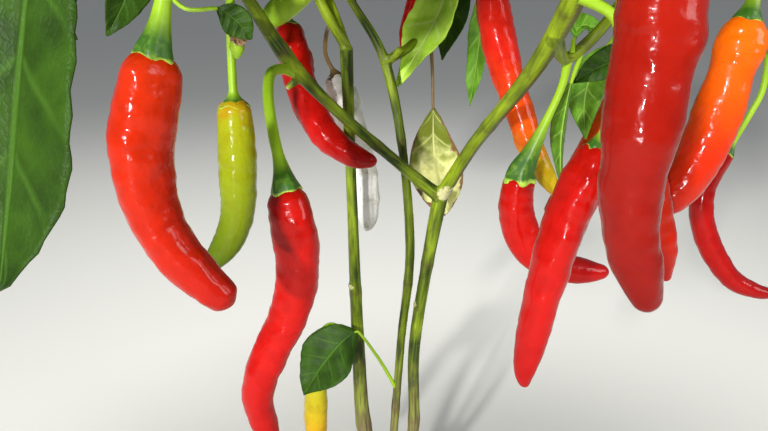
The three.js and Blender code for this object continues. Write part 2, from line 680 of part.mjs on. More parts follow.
// One twig with its leaves and perhaps a pepper. Returns the two twigs of the fork at its end.
function growTwig(growth, { start, direction, across, length, radius, level, seed }) {
  const [roll, armA, armB, turn, droop, leafSize, fruitDraw, fruitTurn] = drawsOf(seed, 8);
  const way = findWay(growth.mass, start, direction, length, radius);
  if (way === null) {
    return [];
  }
  const { heading, end } = way;
  const sunk = start.clone().addScaledVector(heading, level === 0 ? 0 : -radius);
  const stick = new THREE.CylinderGeometry(1, 1, 1, 3, 1);
  const stickRadius = (t) => radius * THREE.MathUtils.lerp(1, RADIUS_RATIO, t);
  growth.solids.push(toSolid(bendAlong(stick, new THREE.LineCurve3(sunk, end), stickRadius)));
  const twist = radians(FORK_TWIST + FORK_TWIST_SPREAD * roll);
  const turned = across.clone().applyAxisAngle(heading, twist);
  const size = between(LEAF_SIZES, leafSize);
  LEAF_NODES.slice(level === 2 ? 1 : 0).forEach((place, k) => {
    const node = start.clone().lerp(end, place);
    addBlade(growth, node, heading, turned, 360 * turn + NODE_TURN * k, droop, size);
  });
  if (level > 0 && level < TWIG_LEVELS && fruitDraw < FRUIT_CHANCE) {
    addSmallPepper(growth, end, turned, fruitTurn, fruitDraw / FRUIT_CHANCE);
  }
  if (level === TWIG_LEVELS) {
    return [];
  }
  return [armA, armB].map((draw, arm) => {
    const angle = radians(FORK_ANGLE + FORK_SPREAD * draw) * (arm === 0 ? 1 : -1);
    const heads = heading.clone().applyAxisAngle(turned, angle).addScaledVector(UP, LIFT);
    return {
      start: end,
      direction: heads.normalize(),
      across: turned,
      length: level === 0 ? TWIG_LENGTH : length * LENGTH_RATIO,
      radius: radius * RADIUS_RATIO,
      level: level + 1,
      seed: childSeed(seed, arm),
    };
  });
}

// A leaf at a node of a twig: it leans away from the twig and hangs, and where that side has no
// room it turns round the twig to the next.
function addBlade({ mass, solids, blades }, node, along, across, turn, droop, size) {
  const [length, width] = [LEAF_LENGTH * size, LEAF_WIDTH * size];
  for (const extra of LEAF_TURNS) {
    const aside = across.clone().applyAxisAngle(along, radians(turn + extra));
    const direction = along.clone().multiplyScalar(LEAF_LEAN).add(aside);
    direction.z -= between(LEAF_DROOP, droop);
    direction.normalize();
    const root = node.clone().addScaledVector(direction, -LEAF_SINK);
    const tip = root.clone().addScaledVector(direction, length);
    const side = direction.clone().cross(UP).normalize();
    const middle = root.clone().lerp(tip, LEAF_WAIST);
    const corners = [tip, middle.clone().addScaledVector(side, width / 2),
      middle.clone().addScaledVector(side, -width / 2)];
    const [heart, point] = [root.clone().lerp(tip, 0.25), root.clone().lerp(tip, 0.9)];
    const apart = blades.every((other) => {
      return lineDistance(heart, point, other.heart, other.point) > LEAF_SPACING;
    });
    const inside = corners.every((corner) => inSpace(corner, mass));
    if (apart && inside && isClear(node, tip, width * LEAF_ROOM)) {
      solids.push(leafSolid(root, direction, length, width));
      blades.push({ heart, point });
      return;
    }
  }
}

// A small pepper hangs straight down from a fork, beside it by the reach of its stalk.
function addSmallPepper({ mass, solids }, node, across, turn, share) {
  const aside = across.clone().applyAxisAngle(UP, radians(360 * turn)).setZ(0).normalize();
  const length = FRUIT_LENGTH * between(FRUIT_SIZES, share);
  const radius = FRUIT_RADIUS * between(FRUIT_GIRTHS, share);
  const shoulder = node.clone().addScaledVector(aside, STALK_LENGTH * STALK_SHOULDER);
  const base = node.clone().addScaledVector(aside, STALK_LENGTH * STALK_REACH);
  base.z -= STALK_LENGTH * STALK_DROP;
  const bend = base.clone().addScaledVector(aside, 0.06 * length);
  bend.z -= 0.5 * length;
  const tip = base.clone().addScaledVector(aside, -0.05 * length);
  tip.z -= length;
  const inside = [base, bend, tip].every((point) => inSpace(point, mass));
  if (inside && isClear(base, tip, radius)) {
    solids.push(pepperTube([node, shoulder], [base, bend, tip], STALK_RADIUS * SMALL_SHARE, radius,
      SMALL_TAPER, SMALL_STALK_RINGS, SMALL_BODY_RINGS, 4));
  }
}

Object.entries(masses).forEach(([name, mass], order) => {
  growMass(name, mass, FIRST_SEED + SEED_STEP * order);
});

export default plant;
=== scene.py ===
import math

import bpy
import numpy as np
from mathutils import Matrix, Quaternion, Vector, kdtree, noise


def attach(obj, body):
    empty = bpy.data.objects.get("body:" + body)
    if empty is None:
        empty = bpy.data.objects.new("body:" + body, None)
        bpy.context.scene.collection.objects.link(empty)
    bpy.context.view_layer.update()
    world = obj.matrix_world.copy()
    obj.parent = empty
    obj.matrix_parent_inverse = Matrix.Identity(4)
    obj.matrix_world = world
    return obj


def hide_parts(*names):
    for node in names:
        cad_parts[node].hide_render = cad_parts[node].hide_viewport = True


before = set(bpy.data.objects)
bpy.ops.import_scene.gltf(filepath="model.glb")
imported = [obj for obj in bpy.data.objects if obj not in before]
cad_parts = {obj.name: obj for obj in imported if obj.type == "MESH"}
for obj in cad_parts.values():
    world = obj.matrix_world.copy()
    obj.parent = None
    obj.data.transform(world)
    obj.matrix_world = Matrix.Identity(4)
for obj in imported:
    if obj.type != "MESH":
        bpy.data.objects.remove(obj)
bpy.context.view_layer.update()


# Camera: held close to the edge of the crown, looking in under its hem at the stems and the
# peppers, and down at 20 degrees.
CAMERA_PLACE = (-0.003, -0.313, 0.333)
CAMERA_DOWN = 20
camera_lens = bpy.data.cameras.new("camera")
camera_lens.lens = 30
camera_lens.sensor_width = 36
camera_lens.clip_start = 0.01
camera = bpy.data.objects.new("camera", camera_lens)
camera.location = CAMERA_PLACE
camera.rotation_euler = (math.radians(90 - CAMERA_DOWN), 0, 0)
bpy.context.scene.collection.objects.link(camera)
bpy.context.scene.camera = camera
bpy.context.scene.view_settings.view_transform = "Standard"


# Floor and lights: a plain pale studio floor, a lamp in front and to the left, which stands for
# the sun, a low one that reaches in under the crown, two soft ones and a pale sky.
def linear(code):
    """A colour of the screen, such as "#d01c18", as linear light."""
    channels = [int(code[k:k + 2], 16) / 255 for k in (1, 3, 5)]
    return (*[c / 12.92 if c <= 0.04045 else ((c + 0.055) / 1.055) ** 2.4 for c in channels], 1.0)


def set_inputs(node, inputs):
    """Gives each input a number, a hex colour or the output that feeds it."""
    for key, value in inputs.items():
        if isinstance(value, bpy.types.NodeSocket):
            node.id_data.links.new(value, node.inputs[key])
        else:
            node.inputs[key].default_value = linear(value) if isinstance(value, str) else value


def add_node(tree, kind, inputs, output=0, **settings):
    """Adds a node with its settings and inputs, and hands back one of its outputs."""
    node = tree.nodes.new(f"ShaderNode{kind}")
    for key, value in settings.items():
        setattr(node, key, value)
    set_inputs(node, inputs)
    return node.outputs[output]


def new_material(name, inputs):
    """A material with these inputs of its shader set, and its node tree and shader."""
    material = bpy.data.materials.new(name)
    material.use_nodes = True
    shader = material.node_tree.nodes["Principled BSDF"]
    set_inputs(shader, inputs)
    return material, material.node_tree, shader


FLOOR_SIDE = 40
bpy.ops.object.select_all(action="DESELECT")
bpy.ops.mesh.primitive_plane_add(size=FLOOR_SIDE)
floor = bpy.context.active_object
floor.name = "floor"
# Matt floor paint: no gloss, so it takes only soft shadows
floor_paint, _, _ = new_material("matt_floor_paint", {"Base Color": "#d2d0c9", "Roughness": 0.9})
floor.data.materials.append(floor_paint)

sky = bpy.data.worlds.new("pale_sky")
sky.use_nodes = True
set_inputs(sky.node_tree.nodes["Background"], {"Color": "#dfe6ee", "Strength": 0.36})
bpy.context.scene.world = sky

LAMP_SPREAD = 90
LAMPS = {  # place and target in metres, side in metres, power in watts
    "lamp_front": ((-1.1, -2.35, 1.3), (0, -0.05, 0.27), 0.14, 14.5),
    "lamp_low": ((-0.75, -2.3, 0.3), (0, 0, 0.27), 0.12, 7),
    "lamp_right": ((1.2, -0.7, 0.8), (0, 0, 0.3), 0.6, 2),
    "lamp_above": ((-0.2, 0.3, 1.9), (0, 0, 0.3), 0.9, 8),
}
for lamp_name, (place, target, side, power) in LAMPS.items():
    light = bpy.data.lights.new(lamp_name, "AREA")
    light.size = side
    light.energy = power
    light.spread = math.radians(LAMP_SPREAD)
    lamp = bpy.data.objects.new(lamp_name, light)
    lamp.location = place
    lamp.rotation_euler = (Vector(target) - Vector(place)).to_track_quat("-Z", "Y").to_euler()
    bpy.context.scene.collection.objects.link(lamp)


# Trunk, stems and boughs: one living frame. A short woody trunk with a root flare parts into three
# stems, which fork into green boughs. Each limb tapers and swells a little at its joints, and all
# are fused by one fine remesh, so each crotch runs over smoothly from limb to limb.
MM = 0.001
RIGHT_FORK = (25.9, 0.4, 229)
LEFT_FORK = (-21, 0.9, 304)
MIDDLE_FORK = (-19, 14, 325)
MIDDLE_NODE = (-2.5, 11.9, 296)
LEFT_TIP = (-67, -56, 348)
RIGHT_TIP = (60, -114, 344)
TRUNK_HEIGHT = 48
BOUGH_GIRTHS = [5, 4.4, 4, 3.8]

# The masses of foliage that the boughs feed: a low ring, a high ring and one on top
RINGS = [  # ring, its masses, radius, height, azimuth of the first
    ("low", ["front_left", "front_right", "right", "back_right", "back", "back_left", "left"],
     148, 396, -116),
    ("high", ["front", "right", "back_right", "back_left", "left"], 88, 498, -90),
]
ROOT_INSET = 0.66  # where a mass's stem starts: nearer the plant's axis than its centre is
ROOT_DROP = 26  # and lower
TOP_HEIGHT = 578
masses = {}
for prefix, names, radius, height, first in RINGS:
    for k, name in enumerate(names):
        azimuth = math.radians(first + k * 360 / len(names))
        centre = Vector((radius * math.cos(azimuth), radius * math.sin(azimuth), height))
        root = Vector((centre.x * ROOT_INSET, centre.y * ROOT_INSET, height - ROOT_DROP))
        masses[f"{prefix}_{name}"] = {"centre": centre, "root": root}
masses["top"] = {"centre": Vector((0, 0, TOP_HEIGHT)),
                 "root": Vector((0, 0, TOP_HEIGHT - 2 * ROOT_DROP))}
masses["low_front_left"]["root"] = Vector((-62, -122, 374))
masses["low_front_right"]["root"] = Vector((55, -150, 380))

# name: path in millimetres, diameters at even steps, tone from dark green (0) to yellow-green (1)
LIMBS = {
    "stem_left": ([(-1.6, 1, 27), (-5.5, 1.2, 45), (-14.4, 2.8, 81), (-17.6, 1.3, 144),
                   (-19.5, -0.2, 228), LEFT_FORK], [10, 9.2, 7.8, 6.8, 5.9, 5.5, 6.7], 0.2),
    "stem_right": ([(4.2, -1, 28), (7, -1.5, 45), (14, -3.8, 86), (13.8, -2.3, 140),
                    (20.5, 0.2, 194), RIGHT_FORK], [8, 7, 6.3, 6.5, 6.4, 8.2], 0.18),
    "stem_middle": ([(1.5, 4.5, 45), (2.9, 0.3, 83), (6.6, 1.3, 144), (10.9, 4.8, 203), MIDDLE_NODE,
                     MIDDLE_FORK], [5.6, 4.8, 4.6, 4.9, 5.2, 4.7, 5.5, 4], 0.2),
    "bough_left": ([RIGHT_FORK, (5, -5.6, 248), (-39.4, -31.6, 296), LEFT_TIP],
                   [7.2, 5.6, 5.3, 5.3, 6.8, 5.2, 4.4], 0.25),
    "bough_right": ([RIGHT_FORK, (38, -15.7, 258), (54.5, -71.6, 306), RIGHT_TIP],
                    [7.2, 6.4, 6.2, 6.6, 7.2, 6.3], 0.62),
    "twig_right": ([(88, -57, 334), (124, -40, 338), (164, -10, 322), (184, 6, 300)],
                   [3.6, 3.2, 2.8, 2.6], 0.5),
}
BOUGHS = {  # start, points on the way, the mass at whose root it ends
    "bough_left_front": (LEFT_TIP, [(-69, -84, 362)], "low_front_left"),
    "bough_left_side": (LEFT_TIP, [(-82, -44, 358)], "low_left"),
    "bough_left_high": ((-69, -84, 362), [(-48, -82, 404)], "high_front"),
    "bough_right_front": (RIGHT_TIP, [(59, -134, 358)], "low_front_right"),
    "bough_right_high": (RIGHT_TIP, [(66, -96, 390)], "high_right"),
    "bough_right_side": ((56.7, -83.3, 315), [(67, -64, 306), (80, -66, 320), (96, -48, 346)],
                         "low_right"),
    "bough_back_left": (LEFT_FORK, [(-30, 9, 326), (-50, 40, 352)], "low_back_left"),
    "bough_middle_left": (LEFT_FORK, [(-33, -1, 326), (-44, 10, 360), (-52, 0, 412)], "high_left"),
    "bough_back": (MIDDLE_FORK, [(-20, 54, 352)], "low_back"),
    "bough_top": (MIDDLE_FORK, [(-16, 14, 400), (-4, 6, 470)], "top"),
    "bough_back_right": (MIDDLE_NODE, [(12, 24, 304), (40, 44, 338)], "low_back_right"),
    "bough_back_high": ((-22, 42, 346), [(-30, 52, 400)], "high_back_left"),
    "bough_centre": ((-17.6, 14, 372), [(16, 8, 392), (34, 26, 430)], "high_back_right"),
}
for name, (start, via, mass) in BOUGHS.items():
    LIMBS[name] = ([start, *via, tuple(masses[mass]["root"])], BOUGH_GIRTHS, 0.5)
    masses[mass]["limb"] = name

FINE_STEPS = 60  # steps of a smooth curve between two points of its path
MEASURE_STEPS = 200


def smooth_line(path, count):
    """Rows at equal steps along the smooth curve through the rows of path. Columns past the
    third, such as a radius, run along with it."""
    knots = np.array(path, float)
    padded = np.vstack([2 * knots[0] - knots[1], knots, 2 * knots[-1] - knots[-2]])
    share = np.linspace(0, 1, FINE_STEPS, endpoint=False)[:, None]
    dense = []
    for k in range(len(knots) - 1):
        x0, x1, x2, x3 = padded[k:k + 4]
        d0, d1, d2 = [math.dist(a[:3], b[:3]) ** 0.5 for a, b in ((x0, x1), (x1, x2), (x2, x3))]
        leaving = ((x1 - x0) / d0 - (x2 - x0) / (d0 + d1) + (x2 - x1) / d1) * d1
        coming = ((x2 - x1) / d1 - (x3 - x1) / (d1 + d2) + (x3 - x2) / d2) * d1
        dense.append(x1 + leaving * share + (3 * (x2 - x1) - 2 * leaving - coming) * share ** 2
                     + (2 * (x1 - x2) + leaving + coming) * share ** 3)
    dense = np.vstack([*dense, knots[-1:]])
    steps = np.linalg.norm(np.diff(dense[:, :3], axis=0), axis=1)
    lengths = np.concatenate([[0], np.cumsum(steps)])
    places = np.linspace(0, lengths[-1], count)
    return np.column_stack([np.interp(places, lengths, column) for column in dense.T])


def length_of(points):
    return float(np.linalg.norm(np.diff(np.asarray(points, float)[:, :3], axis=0), axis=1).sum())


def smooth_length(path):
    return length_of(smooth_line(path, MEASURE_STEPS))


def unit_rows(rows):
    return rows / np.linalg.norm(rows, axis=1)[:, None]


def angles_round(sides):
    return np.arange(sides) * 2 * math.pi / sides


def girth_radii(girths, count):
    """The radius at count even steps along a limb, from its diameters."""
    return np.interp(np.linspace(0, 1, count), np.linspace(0, 1, len(girths)), girths) / 2


def frames_along(points):
    """Two cross directions at each point, turning as little as they can."""
    tangents = unit_rows(np.gradient(points[:, :3], axis=0))
    helper = np.eye(3)[np.argmin(np.abs(tangents[0]))]
    normals = [np.cross(tangents[0], helper)]
    for tangent in tangents[1:]:
        normals.append(normals[-1] - tangent * np.dot(tangent, normals[-1]))
    normals = np.array(normals)
    for k in range(len(normals)):
        normals[k] -= tangents[k] * np.dot(tangents[k], normals[k])
        normals[k] /= np.linalg.norm(normals[k])
    return normals, np.cross(tangents, normals)


def tube(points, radii, sides):
    """Corners and faces of a closed tube. radii has a value for each ring, or one for each of
    its corners."""
    normals, binormals = frames_along(points)
    angles = angles_round(sides)
    radii = np.broadcast_to(np.asarray(radii, float).reshape(len(points), -1), (len(points), sides))
    spread = (normals[:, None] * np.cos(angles)[None, :, None]
              + binormals[:, None] * np.sin(angles)[None, :, None])
    corners = (points[:, None, :3] + spread * radii[:, :, None]).reshape(-1, 3)
    faces = []
    for ring in range(len(points) - 1):
        for side in range(sides):
            a, b = ring * sides + side, ring * sides + (side + 1) % sides
            faces.append((a, b, b + sides, a + sides))
    faces.append(tuple(reversed(range(sides))))
    faces.append(tuple(range((len(points) - 1) * sides, len(points) * sides)))
    return corners, faces


class Heap:
    """The corners and faces of many shapes, to be one mesh."""

    def __init__(self):
        self.corners = []
        self.faces = []
        self.count = 0

    def add(self, corners, faces):
        self.corners.append(corners)
        self.faces.extend(tuple(corner + self.count for corner in face) for face in faces)
        self.count += len(corners)

    def as_object(self, name):
        mesh = bpy.data.meshes.new(name)
        mesh.from_pydata((np.vstack(self.corners) * MM).tolist(), [], self.faces)
        mesh.shade_smooth()
        made = bpy.data.objects.new(name, mesh)
        bpy.context.scene.collection.objects.link(made)
        return made


def pick(*objects):
    """Selects these objects only; the last one is active."""
    bpy.ops.object.select_all(action="DESELECT")
    for one in objects:
        one.select_set(True)
        bpy.context.view_layer.objects.active = one


def edit_all(piece, operator, **settings):
    """Runs an operator of edit mode on the whole piece."""
    pick(piece)
    bpy.ops.object.mode_set(mode="EDIT")
    bpy.ops.mesh.select_all(action="SELECT")
    operator(**settings)
    bpy.ops.object.mode_set(mode="OBJECT")


def apply_modifier(piece, kind, **settings):
    pick(piece)
    bpy.ops.object.modifier_add(type=kind)
    modifier = piece.modifiers[-1]
    for key, value in settings.items():
        setattr(modifier, key, value)
    bpy.ops.object.modifier_apply(modifier=modifier.name)


def dress(piece, material, slot, *nodes):
    """The piece takes its material, rides with the plant and stands for the nodes. The slot
    argument is not used."""
    piece.data.materials.append(material)
    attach(piece, "root")
    if nodes:
        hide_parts(*nodes)


def add_attribute(piece, name, values):
    """Keeps a value, or a row of three, for each corner of the piece."""
    kind, field = ("FLOAT_VECTOR", "vector") if values.ndim == 2 else ("FLOAT", "value")
    attribute = piece.data.attributes.new(name, kind, "POINT")
    attribute.data.foreach_set(field, values.ravel())


TRUNK_RADIUS = 8.6
FLARE_RADIUS = 14.5
FLARE_HEIGHT = 10
FLARE_LOBES = 3
FLARE_LOBE_DEPTH = 0.14
FLARE_TURN = 0.6
TRUNK_LEAN = 2
TRUNK_SIDES = 64
TRUNK_RINGS = 56
TRUNK_LEAST = 0.3  # radius
CROTCH_RISE = 14  # how far the trunk runs up between the stems, closing to a dome
DOME_START = 4  # how far below its height the dome begins
DOME_POINT = 0.4  # the dome's last bit, left off
FISSURE_DEPTH = 0.75
FISSURE_GAIN = 2.6
FISSURE_ROUND = 2.6  # radius of the pattern, so that fissures stand some 3 mm apart
FISSURE_UP = 0.045  # the pattern's steps for each millimetre up, so that they are long
BURIED = 6  # below the ground, to be cut off


def trunk_tube():
    """The trunk from below the ground up to a dome between the stems, with ropy bark."""
    heights = np.linspace(-BURIED, TRUNK_HEIGHT + CROTCH_RISE - DOME_POINT, TRUNK_RINGS)
    flare = np.exp(-np.clip(heights, 0, None) / FLARE_HEIGHT)
    dome = np.clip((heights - TRUNK_HEIGHT + DOME_START) / (CROTCH_RISE + DOME_START), 0, 1)
    radius = (TRUNK_RADIUS + (FLARE_RADIUS - TRUNK_RADIUS) * flare) * np.sqrt(1 - dome ** 2)
    points = np.column_stack([TRUNK_LEAN * heights / TRUNK_HEIGHT, 0 * heights, heights])
    angles = angles_round(TRUNK_SIDES)
    radii = np.empty((TRUNK_RINGS, TRUNK_SIDES))
    for row, height in enumerate(heights):
        for column, angle in enumerate(angles):
            lobes = 1 + FLARE_LOBE_DEPTH * flare[row] * math.cos(FLARE_LOBES * angle + FLARE_TURN)
            place = Vector((math.cos(angle) * FISSURE_ROUND, math.sin(angle) * FISSURE_ROUND,
                            height * FISSURE_UP))
            fissure = abs(noise.noise(place)) * FISSURE_GAIN
            radii[row, column] = radius[row] * lobes - FISSURE_DEPTH * fissure * (1 - dome[row])
    return tube(points, np.clip(radii, TRUNK_LEAST, None), TRUNK_SIDES)


JOINT_SPACING = {"stem_left": 88, "stem_right": 97, "stem_middle": 79, "bough_left": 66,
                 "bough_right": 82}
OTHER_SPACING = 46
FIRST_JOINT = 0.7  # where along the first spacing it is
TIP_CLEAR = 8  # no joint is nearer the tip
JOINT_SWELL = 0.09
JOINT_REACH = 4.0
LIMB_SIDES = 20
LEAST_RINGS = 10
RING_SPACING = 1.5
RIB_COUNT = 4  # soft ribs that run along each green limb
RIB_DEPTH = 0.045
RIB_TWIST = 0.012  # in radians for each millimetre
limb_lines = {}
limb_joints = {}
plant_frame = Heap()
plant_frame.add(*trunk_tube())
for limb_name, (path, girths, _) in LIMBS.items():
    length = smooth_length(path)
    points = smooth_line(path, max(LEAST_RINGS, round(length / RING_SPACING)))
    along = np.linspace(0, 1, len(points)) * length
    radii = girth_radii(girths, len(points))
    spacing = JOINT_SPACING.get(limb_name, OTHER_SPACING)
    joints = np.arange(spacing * FIRST_JOINT, length - TIP_CLEAR, spacing)
    for joint in joints:
        radii = radii * (1 + JOINT_SWELL * np.exp(-((along - joint) / JOINT_REACH) ** 2))
    turns = RIB_COUNT * angles_round(LIMB_SIDES)[None, :] + along[:, None] * RIB_TWIST
    ribs = 1 + RIB_DEPTH * np.cos(turns)
    plant_frame.add(*tube(points, radii[:, None] * ribs, LIMB_SIDES))
    limb_lines[limb_name] = points
    limb_joints[limb_name] = joints

# Short pegs where a side shoot or a stalk has been
STUBS = [  # root, tip and radii in millimetres
    ((16.8, 0, 166.8), (13.7, -1.8, 168.2), 2.7, 1.8),
    ((-40, -31, 294), (-45.4, -32, 289.6), 2.1, 1.2),
    ((0, 11, 297), (5.6, 9.4, 303), 2.3, 1.7),
    ((-18.2, 0.6, 177), (-22, -1.4, 179.5), 2.1, 1.3),
    ((25.4, 0, 229), (27.2, -3.4, 232.5), 4.1, 2.4),
]
STUB_RINGS = 6
STUB_SIDES = 12
for root, tip, root_radius, tip_radius in STUBS:
    radii = np.linspace(root_radius, tip_radius, STUB_RINGS)
    plant_frame.add(*tube(smooth_line([root, tip], STUB_RINGS), radii, STUB_SIDES))

VOXEL_SIZE = 0.00084  # in metres, coarse enough to stay under 200,000 triangles
GROUND_CUT = 0.00002  # height of the flat cut, a hair above the ground
stems = plant_frame.as_object("stems_and_boughs")
apply_modifier(stems, "REMESH", mode="VOXEL", voxel_size=VOXEL_SIZE, use_smooth_shade=True)
apply_modifier(stems, "SMOOTH", factor=0.5, iterations=2)
edit_all(stems, bpy.ops.mesh.bisect, plane_co=(0, 0, GROUND_CUT), plane_no=(0, 0, 1),
         clear_inner=True, use_fill=True, threshold=1e-7)
stems.data.shade_smooth()

# What the bark's pattern follows at each place: how far along its limb it is and on which side,
# its tone, with painted light on the side that faces the front lamp, the brown of joints and the
# brown of the right bough's underside, which is partly painted shade, and the corky patches
CORK_PLACES = [((27.4, -4.6, 231.8), 5.2), ((29.5, -5.4, 235.5), 3.6), ((13.4, -2.2, 168.4), 2.6),
               ((-45.6, -32, 289.5), 1.8), ((-20.6, -2, 178.6), 2.1)]
YOUNG_NODE = (-40, -34, 297)
YOUNG_TONE = 0.6
YOUNG_REACH = 7
# Painted light: each limb's tone is lighter on the side that faces the front lamp
PAINTED_LIGHT_SIDE = np.array([-0.45, -0.55, 0.7])
PAINTED_LIGHT_TONE = 0.14
JOINT_BROWN = 0.5
JOINT_BROWN_REACH = 1.9
# The right bough's underside turns brown: partly the bark's own colour, partly painted shade
SHADED_BROWN_SIDE = np.array([0.75, -0.1, -0.65])
SHADED_BROWN_GAIN, SHADED_BROWN_START, SHADED_BROWN_MOST = 2.2, 0.9, 0.85
samples = []
for limb_name, points in limb_lines.items():
    normals, binormals = frames_along(points)
    along = np.linspace(0, length_of(points), len(points))
    for k in range(len(points)):
        samples.append((points[k], normals[k], binormals[k], along[k], limb_name))
nearest = kdtree.KDTree(len(samples))
for k, sample in enumerate(samples):
    nearest.insert(sample[0], k)
nearest.balance()
corner_count = len(stems.data.vertices)
grain, tones_and_light = np.empty((corner_count, 3)), np.empty(corner_count)
browns_and_shade, corks = np.empty(corner_count), np.empty(corner_count)
for k, vertex in enumerate(stems.data.vertices):
    place = np.array(vertex.co) / MM
    point, normal, binormal, along, limb_name = samples[nearest.find(place)[1]]
    offset = place - point
    outwards = offset / max(np.linalg.norm(offset), 1e-6)
    grain[k] = (offset @ normal, offset @ binormal, along)
    # the limb's own tone, plus painted light on the side that faces the lamp
    tones_and_light[k] = LIMBS[limb_name][2] + PAINTED_LIGHT_TONE * (outwards @ PAINTED_LIGHT_SIDE)
    at_joints = [math.exp(-((along - joint) / JOINT_BROWN_REACH) ** 2)
                 for joint in limb_joints[limb_name]]
    browns_and_shade[k] = JOINT_BROWN * max(at_joints, default=0)
    if limb_name == "bough_left":
        tones_and_light[k] += YOUNG_TONE * math.exp(-(math.dist(place, YOUNG_NODE) / YOUNG_REACH) ** 2)
    if limb_name == "bough_right":
        shaded_underside = SHADED_BROWN_GAIN * (outwards @ SHADED_BROWN_SIDE) - SHADED_BROWN_START
        browns_and_shade[k] = max(browns_and_shade[k], min(shaded_underside, SHADED_BROWN_MOST))
    corks[k] = max(1 - math.dist(place, spot) / reach for spot, reach in CORK_PLACES)
for attribute_name, values in (("grain", grain), ("tone_and_light", tones_and_light), ("brown", np.clip(browns_and_shade, 0, 1)),
                               ("cork", np.clip(corks, 0, 1))):
    add_attribute(stems, attribute_name, values)

# Green bark: a living, waxy skin, dark green to yellow-green, streaked lengthwise every
# millimetre or so, with broad lighter and darker blotches along the limbs that are painted sun
# flecks. Towards the ground it has turned to grey-brown cork with fissures some 3 mm apart,
# which scatters light and has no gloss.
bark, tree, shader = new_material("green_bark", {"Specular IOR Level": 0.22})
grain_place = add_node(tree, "Attribute", {}, "Vector", attribute_name="grain")
patterns = []
for stretch, detail in (((0.9, 0.9, 0.06), 4.0), ((0.16, 0.16, 0.045), 2.0), ((0.3, 0.3, 0.11), 4.0)):
    place = add_node(tree, "VectorMath", {0: grain_place, 1: stretch}, operation="MULTIPLY")
    patterns.append(add_node(tree, "TexNoise", {"Vector": place, "Scale": 1.0, "Detail": detail}))
streaks, painted_sun_flecks, russet = patterns
# Painted sun flecks: broad blotches that make the tone lighter or darker along the limbs
sun_fleck_drift = add_node(tree, "Math", {0: painted_sun_flecks, 1: 1.9, 2: -0.95}, operation="MULTIPLY_ADD")
tone_and_light = add_node(tree, "Attribute", {}, "Fac", attribute_name="tone_and_light")
tone_and_light = add_node(tree, "Math", {0: tone_and_light, 1: sun_fleck_drift}, operation="ADD", use_clamp=True)
green = add_node(tree, "Mix", {0: tone_and_light, 6: "#1f3309", 7: "#9fb61a"}, 2, data_type="RGBA")
light_streak = add_node(tree, "MapRange", {0: streaks, 1: 0.5, 2: 0.78, 3: 0.0, 4: 0.3})
green = add_node(tree, "Mix", {0: light_streak, 6: green, 7: "#a8be36"}, 2, data_type="RGBA")
dark_streak = add_node(tree, "MapRange", {0: streaks, 1: 0.5, 2: 0.3, 3: 0.0, 4: 0.45})
green = add_node(tree, "Mix", {0: dark_streak, 6: green, 7: "#182b08"}, 2, data_type="RGBA")
# brown of the joints, and the right bough's brown underside, which is partly painted shade
brown = add_node(tree, "Attribute", {}, "Fac", attribute_name="brown")
russet = add_node(tree, "MapRange", {0: russet, 1: 0.56, 2: 0.7, 3: 0.0, 4: 0.5})
brown = add_node(tree, "Math", {0: brown, 1: russet}, operation="MAXIMUM")
green = add_node(tree, "Mix", {0: brown, 6: green, 7: "#4a3a1e"}, 2, data_type="RGBA")
place = add_node(tree, "TexCoord", {}, "Object")
height = add_node(tree, "SeparateXYZ", {0: place}, "Z")
ragged_height = add_node(tree, "Math", {0: streaks, 1: 0.16, 2: height}, operation="MULTIPLY_ADD")
woody = add_node(tree, "MapRange", {0: ragged_height, 1: 0.235, 2: 0.12},
                 interpolation_type="SMOOTHSTEP")
fissures = add_node(tree, "MapRange", {0: streaks, 1: 0.35, 2: 0.65})
cork = add_node(tree, "Mix", {0: fissures, 6: "#57452f", 7: "#a08d68"}, 2, data_type="RGBA")
colour = add_node(tree, "Mix", {0: woody, 6: green, 7: cork}, 2, data_type="RGBA")
patch = add_node(tree, "Attribute", {}, "Fac", attribute_name="cork")
flakes = add_node(tree, "TexNoise", {"Vector": place, "Scale": 480.0, "Detail": 3.0})
patch = add_node(tree, "Math", {0: flakes, 1: 1.1, 2: patch}, operation="MULTIPLY_ADD")
patch = add_node(tree, "MapRange", {0: patch, 1: 0.8, 2: 1.0})
patch_colour = add_node(tree, "Mix", {0: flakes, 6: "#7c8a34", 7: "#efe3b4"}, 2, data_type="RGBA")
colour = add_node(tree, "Mix", {0: patch, 6: colour, 7: patch_colour}, 2, data_type="RGBA")
roughness = add_node(tree, "MapRange", {0: woody, 3: 0.4, 4: 0.85})
relief = add_node(tree, "Bump", {"Height": streaks, "Strength": 0.5, "Distance": 0.0006})
set_inputs(shader, {"Base Color": colour, "Roughness": roughness, "Normal": relief})
dress(stems, bark, "stem", "trunk", *LIMBS)


